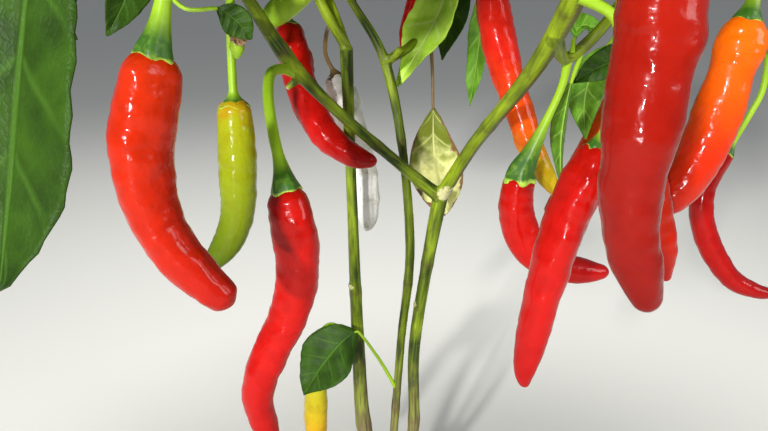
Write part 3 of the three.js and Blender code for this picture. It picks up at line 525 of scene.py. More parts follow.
# Peppers: each is a curved pod, closed all round, with a waxy skin, three soft lobes at its
# shoulders and shallow dents. It hangs from a fleshy stalk that widens into the cap, which holds
# the shoulders.
PODS = {  # stalk; pod as x, y, z, radius; slot; skin; the cap's share of the shoulders; length of
    # the cap's cone and how late it flares; depth of lobes and dents; radius of the stalk
    "pepper_front_left": dict(
        stalk=[(-63, -118, 373), (-57, -130, 360), (-58.5, -136, 338), (-62, -140, 320)],
        pod=[(-63.8, -141, 313.4, 7.4), (-67.1, -142, 300.9, 8.9), (-69, -143, 290.1, 8.8),
             (-68.6, -144, 277.5, 8.0), (-64.2, -145, 264.5, 7.4), (-56.5, -146, 254, 6.4),
             (-48.2, -147, 246.5, 4.2), (-46.6, -147, 245.2, 2.6)],
        slot="pepper_orange", skin="vermilion", cap=0.66, cone=(15, 1.8), lobes=0.09, dents=0.065,
        girth=2.2),
    "pepper_olive": dict(
        stalk=[(-65.5, -54.5, 344), (-64, -46, 336), (-65.3, -45, 307)],
        pod=[(-65.4, -47, 285.1, 7), (-65.1, -48, 270.5, 8.0), (-65.8, -49, 253.2, 8.2),
             (-66.6, -50, 239.8, 7.4), (-71, -51, 227.1, 6.6), (-77.7, -52, 217.9, 4.9),
             (-84.7, -53, 211.5, 1.6)],
        slot="pepper_green", skin="olive", cap=0.86, cone=(7, 2.1), lobes=0.05, dents=0.03, girth=1.75),
    "pepper_left_long": dict(
        stalk=[(-41, -30.5, 296), (-45.6, -40, 299), (-47.8, -57, 299), (-46.9, -70, 292),
               (-44, -80, 280.5), (-40, -89.5, 268.5)],
        pod=[(-38.1, -93.2, 261.4, 7.2), (-36.4, -94.5, 254.2, 8.2), (-34.9, -95, 236.9, 8.5),
             (-36.1, -96, 225, 7.9), (-40.4, -97, 211.9, 7.4), (-46.4, -98, 199.3, 7.0),
             (-51.7, -99, 186.4, 6.5), (-52.9, -99, 174.7, 5.8), (-50, -99, 162.1, 4.6),
             (-47.4, -99, 151.6, 1.8)],
        slot="pepper_red", skin="scarlet", cap=0.74, cone=(17, 1.8), lobes=0.09, dents=0.075, girth=2.1),
    "pepper_behind_left": dict(
        stalk=[(-42.5, 9, 356), (-50, 19, 350), (-53, 22, 332)],
        pod=[(-50.7, 18, 311.8, 7.3), (-47.8, 14, 299.1, 8.2), (-43.7, 6.5, 285.2, 8.0),
             (-38.1, 0, 272.3, 7.8), (-29, -8, 261.4, 7.0), (-17.6, -14, 254.8, 5.8),
             (-6.4, -17, 252.1, 2.6)],
        slot="pepper_red", skin="scarlet", cap=0.75, cone=(8, 2.1), lobes=0.07, dents=0.11, girth=1.8),
    "pepper_young": dict(
        stalk=[(-35, 1, 333), (-27, -2, 346), (-28, 0, 352)],
        pod=[(-33, 0.6, 339, 5.4), (-40, -2.6, 330.5, 6.1), (-47.5, -6.5, 323.5, 6),
             (-54, -9.6, 318.5, 5.1), (-59.9, -12, 315, 2)],
        slot="pepper_green", skin="young_green", cap=0.85, cone=(5, 2.1), lobes=0.06, dents=0.03,
        girth=1.7),
    "pepper_bleached": dict(
        stalk=[(-27, 3, 315), (-31, 16, 311), (-33, 25, 298)],
        pod=[(-28.1, 26, 286.1, 6.4), (-24.7, 26, 274.6, 9.6), (-20.2, 25, 258.7, 8.7),
             (-15, 24, 242.4, 7.3), (-12.4, 23, 225.7, 6.4), (-11.9, 22, 213.1, 5.8),
             (-12.5, 21, 202.2, 2.4)],
        slot="pepper_bleached", skin="bleached", cap=0.8, cone=(6, 2.1), lobes=0.16, dents=0.17,
        girth=1.1),
    "pepper_right_long": dict(
        stalk=[(20, 10, 397), (40, -1, 392), (45, -2, 365)],
        pod=[(46, -3, 336, 7.2), (46.1, -6, 325.5, 7.8), (48.9, -11, 310.6, 8.0),
             (52.6, -16, 295.5, 7.3), (58.8, -21, 278.1, 6.5), (64.2, -25, 262.7, 5.8),
             (71.6, -28, 249.2, 4.6), (79.1, -30, 237.7, 1.2)],
        slot="pepper_red", skin="ripening", cap=0.8, cone=(8, 2.1), lobes=0.08, dents=0.08, girth=1.9),
    "pepper_hooked": dict(
        stalk=[(67, -64, 306), (66, -63, 296), (61, -62, 281), (55.5, -61.8, 267)],
        pod=[(52.4, -62, 258, 6.4), (51.6, -62, 247, 7.1), (54.7, -62, 234.2, 7.7),
             (61.9, -62, 224.2, 7.3), (72.7, -62, 218.1, 6.2), (83.6, -62, 216.2, 5.2),
             (94, -62, 215.7, 2.2)],
        slot="pepper_red", skin="scarlet", cap=0.94, cone=(34, 1.9), lobes=0.06, dents=0.03,
        girth=1.5),
    "pepper_right_front": dict(
        stalk=[(58, -104, 329), (69, -106, 322), (70.5, -109, 300), (68.5, -110, 289)],
        pod=[(66.4, -110, 282, 5.2), (64.2, -110, 273, 7.9), (60.6, -110, 263.9, 8.1),
             (55.9, -111, 246.9, 7.5), (52.1, -112, 228.3, 6.4), (49.4, -113, 210.7, 5.3),
             (47.9, -114, 198.8, 3.2), (48.7, -114, 193.7, 1.2)],
        slot="pepper_red", skin="scarlet", cap=0.7, cone=(6, 2.1), lobes=0.15, dents=0.06, girth=1.7),
    "pepper_near": dict(
        stalk=[(58, -139, 363.5), (53, -166, 377), (49, -182, 362)],
        pod=[(49, -183, 342, 6.4), (49.2, -184, 333.5, 8.1), (49.6, -185, 324.4, 8.6),
             (48.9, -186, 317, 7.9), (48.2, -187, 309.3, 7.9), (47.6, -188, 300.4, 7.0),
             (47.7, -188, 290.9, 6.1), (49.4, -188, 281.1, 5.4), (52, -188, 274.1, 4.8),
             (55.5, -188, 265.2, 2.4)],
        slot="pepper_red", skin="shaded_deep_red", cap=0.8, cone=(9, 2.1), lobes=0.08, dents=0.07, girth=2.0),
    "pepper_orange": dict(
        stalk=[(96, -48, 346), (111, -72, 354), (117, -94, 342)],
        pod=[(112.6, -100, 321, 6.2), (111.6, -100, 314.1, 7.8), (109.9, -101, 304.6, 6.9),
             (107.9, -102, 295, 7.7), (105.1, -103, 283.5, 7.6), (100.8, -104, 272.6, 7.0),
             (94, -105, 262.9, 5.6), (88.4, -106, 258.6, 2)],
        slot="pepper_orange", skin="orange", cap=0.66, cone=(8, 2.1), lobes=0.07, dents=0.06, girth=1.8),
    "pepper_far_right": dict(
        stalk=[(184, 6, 301), (184.3, 6, 282), (181, 6, 272), (175.5, 5, 260)],
        pod=[(171.5, 4, 252, 4.2), (167.4, 4, 243.6, 5), (163.1, 4, 232.8, 5.7),
             (162.9, 3, 222.2, 6.1), (166.7, 2, 209.1, 6.2), (174.6, 1, 194.5, 6),
             (185.6, 0, 182, 5.4), (198.6, -1, 175.9, 4.2), (214, -2, 174, 1.6)],
        slot="pepper_red", skin="dark_red", cap=0.9, cone=(8, 2.1), lobes=0.05, dents=0.05, girth=1.5),
    "pepper_turning": dict(
        stalk=[(98, -40, 354), (114, -6, 344), (119, 10, 312)],
        pod=[(118, 14, 285, 4.8), (113, 13.6, 270, 6.1), (103, 12, 249, 6.1), (93, 10, 232, 5.2),
             (83, 8, 218, 1.6)],
        slot="pepper_orange", skin="orange", cap=0.8, cone=(7, 2.1), lobes=0.06, dents=0.04, girth=1.6),
    "pepper_behind_near": dict(
        stalk=[(60, -117, 346), (73, -124, 340), (75, -127, 312)],
        pod=[(74.5, -128, 294, 4.6), (75, -128, 281.7, 5.6), (76.8, -129, 272.6, 6.2),
             (79.7, -129, 262.9, 6.2), (82.8, -130, 254.3, 5), (86.4, -130, 244.4, 1.1)],
        slot="pepper_red", skin="vermilion", cap=0.8, cone=(7, 2.1), lobes=0.06, dents=0.05, girth=1.6),
    "pepper_back": dict(
        stalk=[(-17, 70, 359), (14, 96, 372), (22, 132, 362)],
        pod=[(18.4, 138, 332, 3.6), (17, 137, 322.1, 4.6), (14.4, 136, 312.6, 4.6),
             (11.2, 135, 301.7, 4), (9.2, 134, 290.6, 1.4)],
        slot="pepper_red", skin="scarlet", cap=0.8, cone=(6, 2.1), lobes=0.06, dents=0.05, girth=1.4),
    "pepper_bud": dict(
        stalk=[(-57.8, -48, 331), (-63, -52, 325), (-61.5, -52.5, 318)],
        pod=[(-61, -53, 313, 2), (-61, -53, 309, 3), (-61.2, -53, 304.5, 1)],
        slot="pepper_green", skin="young_green", cap=0.9, cone=(4, 2), lobes=0.05, dents=0.03,
        girth=0.9),
    "pepper_low": dict(
        stalk=[(-17.6, 1.3, 143), (-33, 4, 152), (-42, 5, 140), (-42.6, 5, 130)],
        pod=[(-42.5, 5, 121, 5.0), (-42.9, 4, 105.5, 6.6), (-43.6, 4, 87.8, 6.7), (-43.5, 4, 73.3, 5.5),
             (-42.7, 4, 60, 1.8)],
        slot="pepper_green", skin="yellowing", cap=0.85, cone=(7, 2.1), lobes=0.05, dents=0.03,
        girth=1.6),
}
POD_SEGMENTS = 36
POD_RINGS = 100
RING_CROWDING = 0.11  # how much closer the rings stand towards both ends
POD_STEPS = 200  # points of the line that a pod follows
CREST_RISE = 0.42  # of the shoulders, as a share of their radius
SHOULDER_ROUNDING, TIP_ROUNDING = 0.8, 1.2  # length of the rounded ends, to the radius there
LOBE_COUNT = 3
LOBE_REACH = 0.22  # share of the pod over which the lobes fade
OVAL_DEPTH = 0.4  # of the pod's oval section, as a share of the lobes'
OVAL_TURN = 2.3  # turns the oval out of step with the lobes
OVAL_TWIST = 4  # in radians over the pod
DENT_ROUND, DENT_ALONG = 0.9, 0.75  # the dents' pattern round the pod and along it
FINE_DENTS, FINE_DENT_RATE = 0.45, 2.3
FURROW_DEPTH = 0.04  # shallow wrinkles that run across the pod, some 5 mm apart
FURROW_ROUND = 0.7
FURROW_SPACING = 2.8


def newest_piece(name):
    """The primitive that was just added, now with its name, and its corners as rows."""
    made = bpy.context.active_object
    made.name = made.data.name = name
    corners = np.empty(len(made.data.vertices) * 3)
    made.data.vertices.foreach_get("co", corners)
    return made, corners.reshape(-1, 3)


def one_mesh(name, corners, faces):
    heap = Heap()
    heap.add(corners, faces)
    return heap.as_object(name)


def rounding(t, share):
    """Grows from 0 to 1 over the first share of t, as a ball's end does."""
    return np.sqrt(np.clip(1 - (1 - np.clip(t / share, 0, 1)) ** 2, 0, 1))


def pod_mesh(name, pod, lobes, dents, turn):
    """A ball stretched along the pod's line, with its own radius all the way."""
    path = np.array(pod, float)
    lead = (path[0, :3] - path[1, :3]) / np.linalg.norm(path[0, :3] - path[1, :3])
    crest = path[0].copy()
    crest[:3] += lead * path[0, 3] * CREST_RISE
    line = smooth_line(np.vstack([crest, path]), POD_STEPS)
    normals, binormals = frames_along(line)
    length = length_of(line)
    bpy.ops.object.select_all(action="DESELECT")
    bpy.ops.mesh.primitive_uv_sphere_add(segments=POD_SEGMENTS, ring_count=POD_RINGS, radius=1)
    made, ball = newest_piece(name)
    level = np.arccos(np.clip(ball[:, 2], -1, 1)) / math.pi
    along = level - RING_CROWDING * np.sin(2 * math.pi * level)
    angle = np.arctan2(ball[:, 1], ball[:, 0])
    step = along * (POD_STEPS - 1)
    low = np.clip(np.floor(step).astype(int), 0, POD_STEPS - 2)
    share = (step - low)[:, None]
    place, normal, binormal = [rows[low] * (1 - share) + rows[low + 1] * share
                               for rows in (line, normals, binormals)]
    radius = place[:, 3] * rounding(along * length, path[0, 3] * SHOULDER_ROUNDING)
    radius *= rounding((1 - along) * length, path[-1, 3] * TIP_ROUNDING)
    ripple = lobes * np.exp(-along / LOBE_REACH) * np.cos(LOBE_COUNT * angle + turn)
    ripple += OVAL_DEPTH * lobes * np.cos(2 * angle + OVAL_TURN * turn + OVAL_TWIST * along)
    scale = path[:, 3].mean()
    for k in range(len(radius)):
        x, y = math.cos(angle[k]), math.sin(angle[k])
        spot = Vector((x * DENT_ROUND + turn, y * DENT_ROUND, along[k] * length / scale * DENT_ALONG))
        ripple[k] += dents * (noise.noise(spot) + FINE_DENTS * noise.noise(spot * FINE_DENT_RATE))
        spot = Vector((x * FURROW_ROUND, y * FURROW_ROUND + turn, along[k] * length / FURROW_SPACING))
        ripple[k] += FURROW_DEPTH * noise.noise(spot)
    radius *= 1 + ripple * rounding(along * length, scale)
    heading = normal * np.cos(angle)[:, None] + binormal * np.sin(angle)[:, None]
    corners = place[:, :3] + heading * radius[:, None]
    made.data.vertices.foreach_set("co", (corners * MM).ravel())
    add_attribute(made, "along", along)
    made.data.shade_smooth()
    edit_all(made, bpy.ops.mesh.normals_make_consistent, inside=False)
    return made, line


STALK_RINGS, STALK_RING_SPACING = 24, 0.9
FOOT_SWELL, FOOT_REACH = 0.35, 3.5  # where the stalk leaves its limb
STALK_RIBS, CAP_RIBS = 0.03, 0.05
CAP_SIDES = 30
CAP_TEETH = 5
CAP_WALL = 0.45
CAP_LAP = 0.3  # how far past the shoulders' curve the rim reaches
TOOTH_LENGTH, TOOTH_BACK = 1.3, 0.4
RIM_DEPTH, RIM_SHARE = 0.9, 0.3  # the face inside the rim, and how wide it is


def stalk_mesh(name, stalk, pod_line, girth, cap, cone, turn):
    """Stalk and cap: a tube that swells from the limb to the cap, whose toothed rim lies on the
    pod's shoulders."""
    shoulder = pod_line[0, 3]
    cone_length, lateness = cone
    sunk = SHOULDER_ROUNDING * shoulder * (1 - math.sqrt(max(1 - cap ** 2, 0)))
    inward = pod_line[3, :3] - pod_line[0, :3]
    inward /= np.linalg.norm(inward)
    path = [*stalk, tuple(pod_line[0, :3]), tuple(pod_line[0, :3] + inward * (sunk + CAP_LAP))]
    length = smooth_length(path)
    rings = max(STALK_RINGS, round(length / STALK_RING_SPACING))
    line = smooth_line(path, rings)
    left = (1 - np.linspace(0, 1, rings)) * length
    radii = girth * (1 + FOOT_SWELL * np.exp(-((length - left) / FOOT_REACH)))
    rim = np.clip(1 - left / cone_length, 0, 1)
    flare = rim ** lateness
    radii = radii + (cap * shoulder + CAP_WALL - radii) * flare
    lobes = np.cos(CAP_TEETH * angles_round(CAP_SIDES) + turn)
    ribs = (STALK_RIBS + CAP_RIBS * flare)[:, None] * lobes[None, :]
    corners, faces = tube(line, radii[:, None] * (1 + ribs), CAP_SIDES)
    teeth = (0.5 + 0.5 * lobes) * TOOTH_LENGTH - TOOTH_BACK
    edge = corners[-CAP_SIDES:] + inward * teeth[:, None]
    corners[-CAP_SIDES:] = edge
    inside = line[-1:, :3] + inward * RIM_DEPTH
    corners = np.vstack([corners, edge + (inside - edge) * RIM_SHARE])
    faces.pop()  # the flat end of the tube gives way to the rim's inner face
    first, second = (rings - 1) * CAP_SIDES, rings * CAP_SIDES
    for side in range(CAP_SIDES):
        after = (side + 1) % CAP_SIDES
        faces.append((first + side, first + after, second + after, second + side))
    faces.append(tuple(range(second, second + CAP_SIDES)))
    made = one_mesh(name, corners, faces)
    add_attribute(made, "rim", np.concatenate([np.repeat(rim, CAP_SIDES), np.ones(CAP_SIDES)]))
    return made


SKINS = {  # stops along the pod
    "scarlet": [(0, "#9c0d08"), (0.12, "#b41109"), (0.6, "#bc130e"), (1, "#a60e0d")],
    "dark_red": [(0, "#930c08"), (0.3, "#a8100c"), (0.8, "#a20f0d"), (1, "#84080a")],
    # Partly painted shade: a darker copy of the red skin, for a pod that hangs in shade
    "shaded_deep_red": [(0, "#a81c08"), (0.4, "#951407"), (0.8, "#8a1007"), (1, "#7e0c07")],
    "vermilion": [(0, "#c02c08"), (0.25, "#bd2608"), (0.7, "#b81f09"), (1, "#ac150a")],
    "orange": [(0, "#ee6a08"), (0.35, "#e8560b"), (0.6, "#cf2e0d"), (1, "#ac1a0c")],
    "ripening": [(0, "#bb1811"), (0.35, "#cb2111"), (0.6, "#d8460d"), (0.7, "#c65a0c"),
                 (0.78, "#d49c10"), (0.9, "#c4ab14"), (1, "#c9861a")],
    "olive": [(0, "#b98c10"), (0.12, "#9c9d12"), (0.45, "#869412"), (0.75, "#63760e"), (1, "#425a0e")],
    "young_green": [(0, "#93bf2b"), (0.5, "#a2c833"), (1, "#8eb92c")],
    "yellowing": [(0, "#9aa71e"), (0.5, "#c2a31a"), (0.8, "#d08c16"), (1, "#b8a21e")],
}


def pod_skin(name, stops):
    """Waxed pod skin: the ripe colour runs along the pod, mottled every 5 mm or so, under a hard
    gloss that shallow swellings some 3 mm apart break up."""
    material, tree, shader = new_material(name, {
        "Coat Weight": 0.22, "Coat Roughness": 0.04, "Specular IOR Level": 0.1})
    place = add_node(tree, "TexCoord", {}, "Object")
    mottle = add_node(tree, "TexNoise", {"Vector": place, "Scale": 190.0, "Detail": 3.0})
    along = add_node(tree, "Attribute", {}, "Fac", attribute_name="along")
    drifting = add_node(tree, "Math", {0: mottle, 1: 0.22, 2: along}, operation="MULTIPLY_ADD")
    drifting = add_node(tree, "Math", {0: drifting, 1: 0.11}, operation="SUBTRACT")
    ripe = add_node(tree, "ValToRGB", {0: drifting})
    ramp = ripe.node.color_ramp
    for stop, _ in stops[2:]:
        ramp.elements.new(stop)
    for element, (stop, code) in zip(ramp.elements, stops):
        element.position = stop
        element.color = linear(code)
    shade = add_node(tree, "MapRange", {0: mottle, 1: 0.55, 2: 0.3, 3: 0.0, 4: 0.5})
    colour = add_node(tree, "Mix", {0: shade, 6: ripe, 7: (0.72, 0.6, 0.6, 1)}, 2, data_type="RGBA",
                      blend_type="MULTIPLY")
    swell = add_node(tree, "TexNoise", {"Vector": place, "Scale": 330.0, "Detail": 1.5})
    relief = add_node(tree, "Bump", {"Height": swell, "Strength": 0.4, "Distance": 0.0009})
    roughness = add_node(tree, "MapRange", {0: mottle, 1: 0.3, 2: 0.7, 3: 0.13, 4: 0.26})
    set_inputs(shader, {"Base Color": colour, "Roughness": roughness, "Normal": relief})
    return material


def papery_skin(name):
    """Sun-bleached, dried pod wall: white to grey, wrinkled like paper, with brown stains."""
    material, tree, shader = new_material(name, {"Specular IOR Level": 0.35})
    place = add_node(tree, "TexCoord", {}, "Object")
    stain = add_node(tree, "TexNoise", {"Vector": place, "Scale": 120.0, "Detail": 5.0})
    grey = add_node(tree, "MapRange", {0: stain, 1: 0.42, 2: 0.7})
    colour = add_node(tree, "Mix", {0: grey, 6: "#f8f7f2", 7: "#dddbd0"}, 2, data_type="RGBA")
    brown = add_node(tree, "MapRange", {0: stain, 1: 0.6, 2: 0.76, 3: 0.0, 4: 0.75})
    colour = add_node(tree, "Mix", {0: brown, 6: colour, 7: "#7d6546"}, 2, data_type="RGBA")
    crumple = add_node(tree, "TexNoise", {"Vector": place, "Scale": 420.0, "Detail": 6.0,
                                          "Distortion": 1.2})
    relief = add_node(tree, "Bump", {"Height": crumple, "Strength": 0.6, "Distance": 0.0012})
    roughness = add_node(tree, "MapRange", {0: stain, 1: 0.3, 2: 0.7, 3: 0.45, 4: 0.7})
    set_inputs(shader, {"Base Color": colour, "Roughness": roughness, "Normal": relief})
    return material


def stalk_skin(name, stalk_colour, cap_colour, rim_colour):
    """Fleshy stalk, smooth and faintly mottled. The cap is darker, with a pale, dry rim."""
    material, tree, shader = new_material(name, {"Roughness": 0.36, "Specular IOR Level": 0.28})
    place = add_node(tree, "TexCoord", {}, "Object")
    mottle = add_node(tree, "TexNoise", {"Vector": place, "Scale": 420.0, "Detail": 3.0})
    rim = add_node(tree, "Attribute", {}, "Fac", attribute_name="rim")
    capped = add_node(tree, "MapRange", {0: rim, 1: 0.2, 2: 0.7})
    colour = add_node(tree, "Mix", {0: capped, 6: stalk_colour, 7: cap_colour}, 2, data_type="RGBA")
    ragged = add_node(tree, "Math", {0: mottle, 1: 0.08, 2: rim}, operation="MULTIPLY_ADD")
    edge = add_node(tree, "MapRange", {0: ragged, 1: 0.985, 2: 1.025})
    colour = add_node(tree, "Mix", {0: edge, 6: colour, 7: rim_colour}, 2, data_type="RGBA")
    pale = add_node(tree, "MapRange", {0: mottle, 1: 0.5, 2: 0.75, 3: 0.0, 4: 0.25})
    colour = add_node(tree, "Mix", {0: pale, 6: colour, 7: rim_colour}, 2, data_type="RGBA")
    relief = add_node(tree, "Bump", {"Height": mottle, "Strength": 0.25, "Distance": 0.0004})
    set_inputs(shader, {"Base Color": colour, "Normal": relief})
    return material


skins = {skin: pod_skin(f"pod_skin_{skin}", stops) for skin, stops in SKINS.items()}
skins["bleached"] = papery_skin("pod_wall_bleached")
fresh_stalk = stalk_skin("fresh_stalk", "#92b822", "#37601a", "#a6c644")
dried_stalk = stalk_skin("dried_stalk", "#7a6138", "#5f4c30", "#98855a")
FIRST_TURN, TURN_STEP = 0.6, 1.7  # of the lobes, dents and teeth, from pepper to pepper
pod_lines = {}
for order, (name, pepper) in enumerate(PODS.items()):
    turn = TURN_STEP * order + FIRST_TURN
    pod, pod_lines[name] = pod_mesh(f"{name}_pod", pepper["pod"], pepper["lobes"],
                                    pepper["dents"], turn)
    dress(pod, skins[pepper["skin"]], pepper["slot"], name)
    stalk = stalk_mesh(f"{name}_stalk", pepper["stalk"], pod_lines[name], pepper["girth"],
                       pepper["cap"], pepper["cone"], turn)
    dress(stalk, dried_stalk if pepper["skin"] == "bleached" else fresh_stalk, "stem", name)


# Single leaves: the leaves of the open middle, each on a thin leafstalk. A blade is thin living
# tissue, folded a little along its midrib, with side veins that arch towards the tip.
LEAVES = {  # leafstalk; midrib; full width; where along it the blade is widest; direction that the
    # upper face looks in; fold in degrees; wave of the margin in millimetres; skin
    "leaf_low": dict(
        stalk=[(4, 0, 113), (-6, -5, 136), (-18, -9, 156)],
        midrib=[(-18, -9, 156), (-25.8, -10.5, 149.9), (-36.9, -12, 135.8), (-47.5, -13, 118)],
        width=31, waist=0.42, face=(-0.25, -0.9, 0.5), fold=14, wave=1.2, skin="dark_and_shaded"),
    "leaf_centre": dict(
        stalk=[(40, 44, 338), (37, 36, 350), (30, 27, 346)],
        midrib=[(30, 27, 346), (27, 25, 324.8), (17.3, 22, 304.7), (3.6, 19, 283)],
        width=29, waist=0.42, face=(-0.62, -0.8, 0.35), fold=22, wave=1.5, skin="bright_and_sunlit"),
    "leaf_withered": dict(
        stalk=[(20, 29, 313), (22.5, 33, 292), (23.4, 31, 270.5)],
        midrib=[(23.4, 31, 270), (24.5, 29.5, 246.6), (28.3, 28, 225.2), (32, 27, 210)],
        width=30, waist=0.56, face=(-0.15, -1, 0.15), fold=16, wave=2.4, skin="withered"),
    "leaf_folded": dict(
        stalk=[(72, -65.6, 311), (71.5, -62, 304), (70.3, -60, 297)],
        midrib=[(70.3, -60, 297), (69.3, -59, 286), (69, -58, 272), (71, -57, 253)],
        width=20, waist=0.45, face=(-0.1, -1, 0.1), fold=-72, wave=0.4, skin="fresh"),
    "leaf_near": dict(
        stalk=[(-68, -104, 367), (-76, -150, 374), (-50, -208, 352)],
        midrib=[(-50, -208, 352), (-54.6, -212, 336), (-58.4, -215.5, 317.6), (-61.2, -218, 302.6),
                (-64, -221.5, 287)],
        width=26, waist=0.6, face=(-0.3, -0.95, 0.2), fold=10, wave=0.8, skin="dark_and_shaded"),
    "leaf_left": dict(
        stalk=[(-68.7, -90, 364), (-86, -104, 372), (-97, -117, 360)],
        midrib=[(-97, -117, 360), (-96.3, -119.5, 347), (-94.6, -121, 331), (-92, -122, 317.4)],
        width=17, waist=0.45, face=(1, 0.1, 0.2), fold=10, wave=0.6, skin="dark_and_shaded"),
    "leaf_left_behind": dict(
        stalk=[(-64.8, -108, 369), (-68, -114, 360), (-70.5, -117, 350)],
        midrib=[(-70.5, -117, 350), (-73.5, -118, 339), (-77.7, -119, 328.3), (-83.7, -120, 318.4)],
        width=14, waist=0.45, face=(0.7, -0.7, 0.2), fold=12, wave=0.5, skin="dark_and_shaded"),
    "leaf_centre_back": dict(
        stalk=[(48, 48, 346), (54, 42, 352), (50.2, 40, 341)],
        midrib=[(50.2, 40, 341), (49.3, 40, 320), (47.2, 40, 294), (44.5, 40, 269)],
        width=13, waist=0.5, face=(-0.6, -0.8, 0.1), fold=16, wave=0.8, skin="fresh"),
    "leaf_centre_far": dict(
        stalk=[(52, 50, 350), (44, 60, 353), (37, 60, 345)],
        midrib=[(37, 60, 345), (36.4, 60, 334.3), (33.8, 60, 313.4), (30, 60, 291.5)],
        width=22, waist=0.42, face=(-0.3, -0.9, 0.3), fold=14, wave=1, skin="dark_and_shaded"),
    "leaf_right": dict(
        stalk=[(107, -47.5, 338), (111, -46, 326), (103, -42, 308)],
        midrib=[(103, -42, 308), (95.4, -42, 303.7), (86, -41.5, 299.5), (76.5, -40, 293)],
        width=14, waist=0.42, face=(-0.1, -0.9, 0.4), fold=14, wave=0.8, skin="dark_and_shaded"),
    "leaf_right_behind": dict(
        stalk=[(118, -43, 338), (112, -25, 328), (99, -12, 306)],
        midrib=[(99, -12, 306), (93, -10, 290), (92, -10, 277), (94.5, -10, 262)],
        width=17, waist=0.42, face=(-0.4, -0.9, 0.2), fold=14, wave=1, skin="fresh"),
    "leaf_small": dict(
        stalk=[(-80, -46, 357.5), (-88, -54, 338), (-78, -61, 324), (-66, -60, 324)],
        midrib=[(-66, -60, 324), (-62.5, -59.7, 322), (-58.5, -59, 318.5), (-54, -58, 312.5)],
        width=12, waist=0.5, face=(-0.1, -1, 0.2), fold=10, wave=0.4, skin="dark_and_shaded"),
    "leaf_curled": dict(
        stalk=[(68, -65, 308), (68.6, -63.5, 311), (69, -62.5, 313)],
        midrib=[(69, -62.5, 313), (71, -60, 317), (75, -59, 317.5), (78, -59, 313.5)],
        width=9, waist=0.5, face=(-0.2, -0.8, 0.6), fold=35, wave=0.8, skin="fresh"),
    "dried_corolla": dict(
        stalk=[(-61, -53, 316), (-61.8, -54.5, 315), (-62.6, -55.5, 313.8)],
        midrib=[(-62.6, -55.5, 313.8), (-60.6, -56.8, 312.4), (-58.6, -57, 311.8), (-56.6, -56, 311.4)],
        width=6, waist=0.6, face=(-0.1, -0.8, 0.6), fold=30, wave=1, skin="dried"),
}
LEAF_WALL = 0.35
GRID_ACROSS = 16
GRID_ALONG = 34
MIDRIB_STEPS = 120
MARGIN_WAVES = 15  # radians of the margin's wave along a leaf
WAVE_OFFSET = 1.1  # between its two sides
VEINS = 9  # folds between foot and tip; the skin draws a pale vein along every second one
VEIN_SLANT = 1.5  # how many folds a side vein passes on its way to the margin
VEIN_RELIEF = 0.35
VEIN_HALF_WIDTH = 8  # a leaf narrower than this, from midrib to margin, has less relief
LEAFSTALK_RINGS = 24
LEAFSTALK_SIDES = 10
LEAFSTALK_RADII = (1.15, 0.75)
LEAST_WIDTH = 0.015  # of a leaf at its foot and tip, as a share
OUTLINE_ROUNDNESS = 1.9


def leaf_outline(along, waist):
    """Half width at each place along a leaf, as a share of the greatest."""
    near, far = OUTLINE_ROUNDNESS * waist, OUTLINE_ROUNDNESS * (1 - waist)
    full = waist ** near * (1 - waist) ** far
    return np.maximum(along ** near * (1 - along) ** far / full, LEAST_WIDTH)


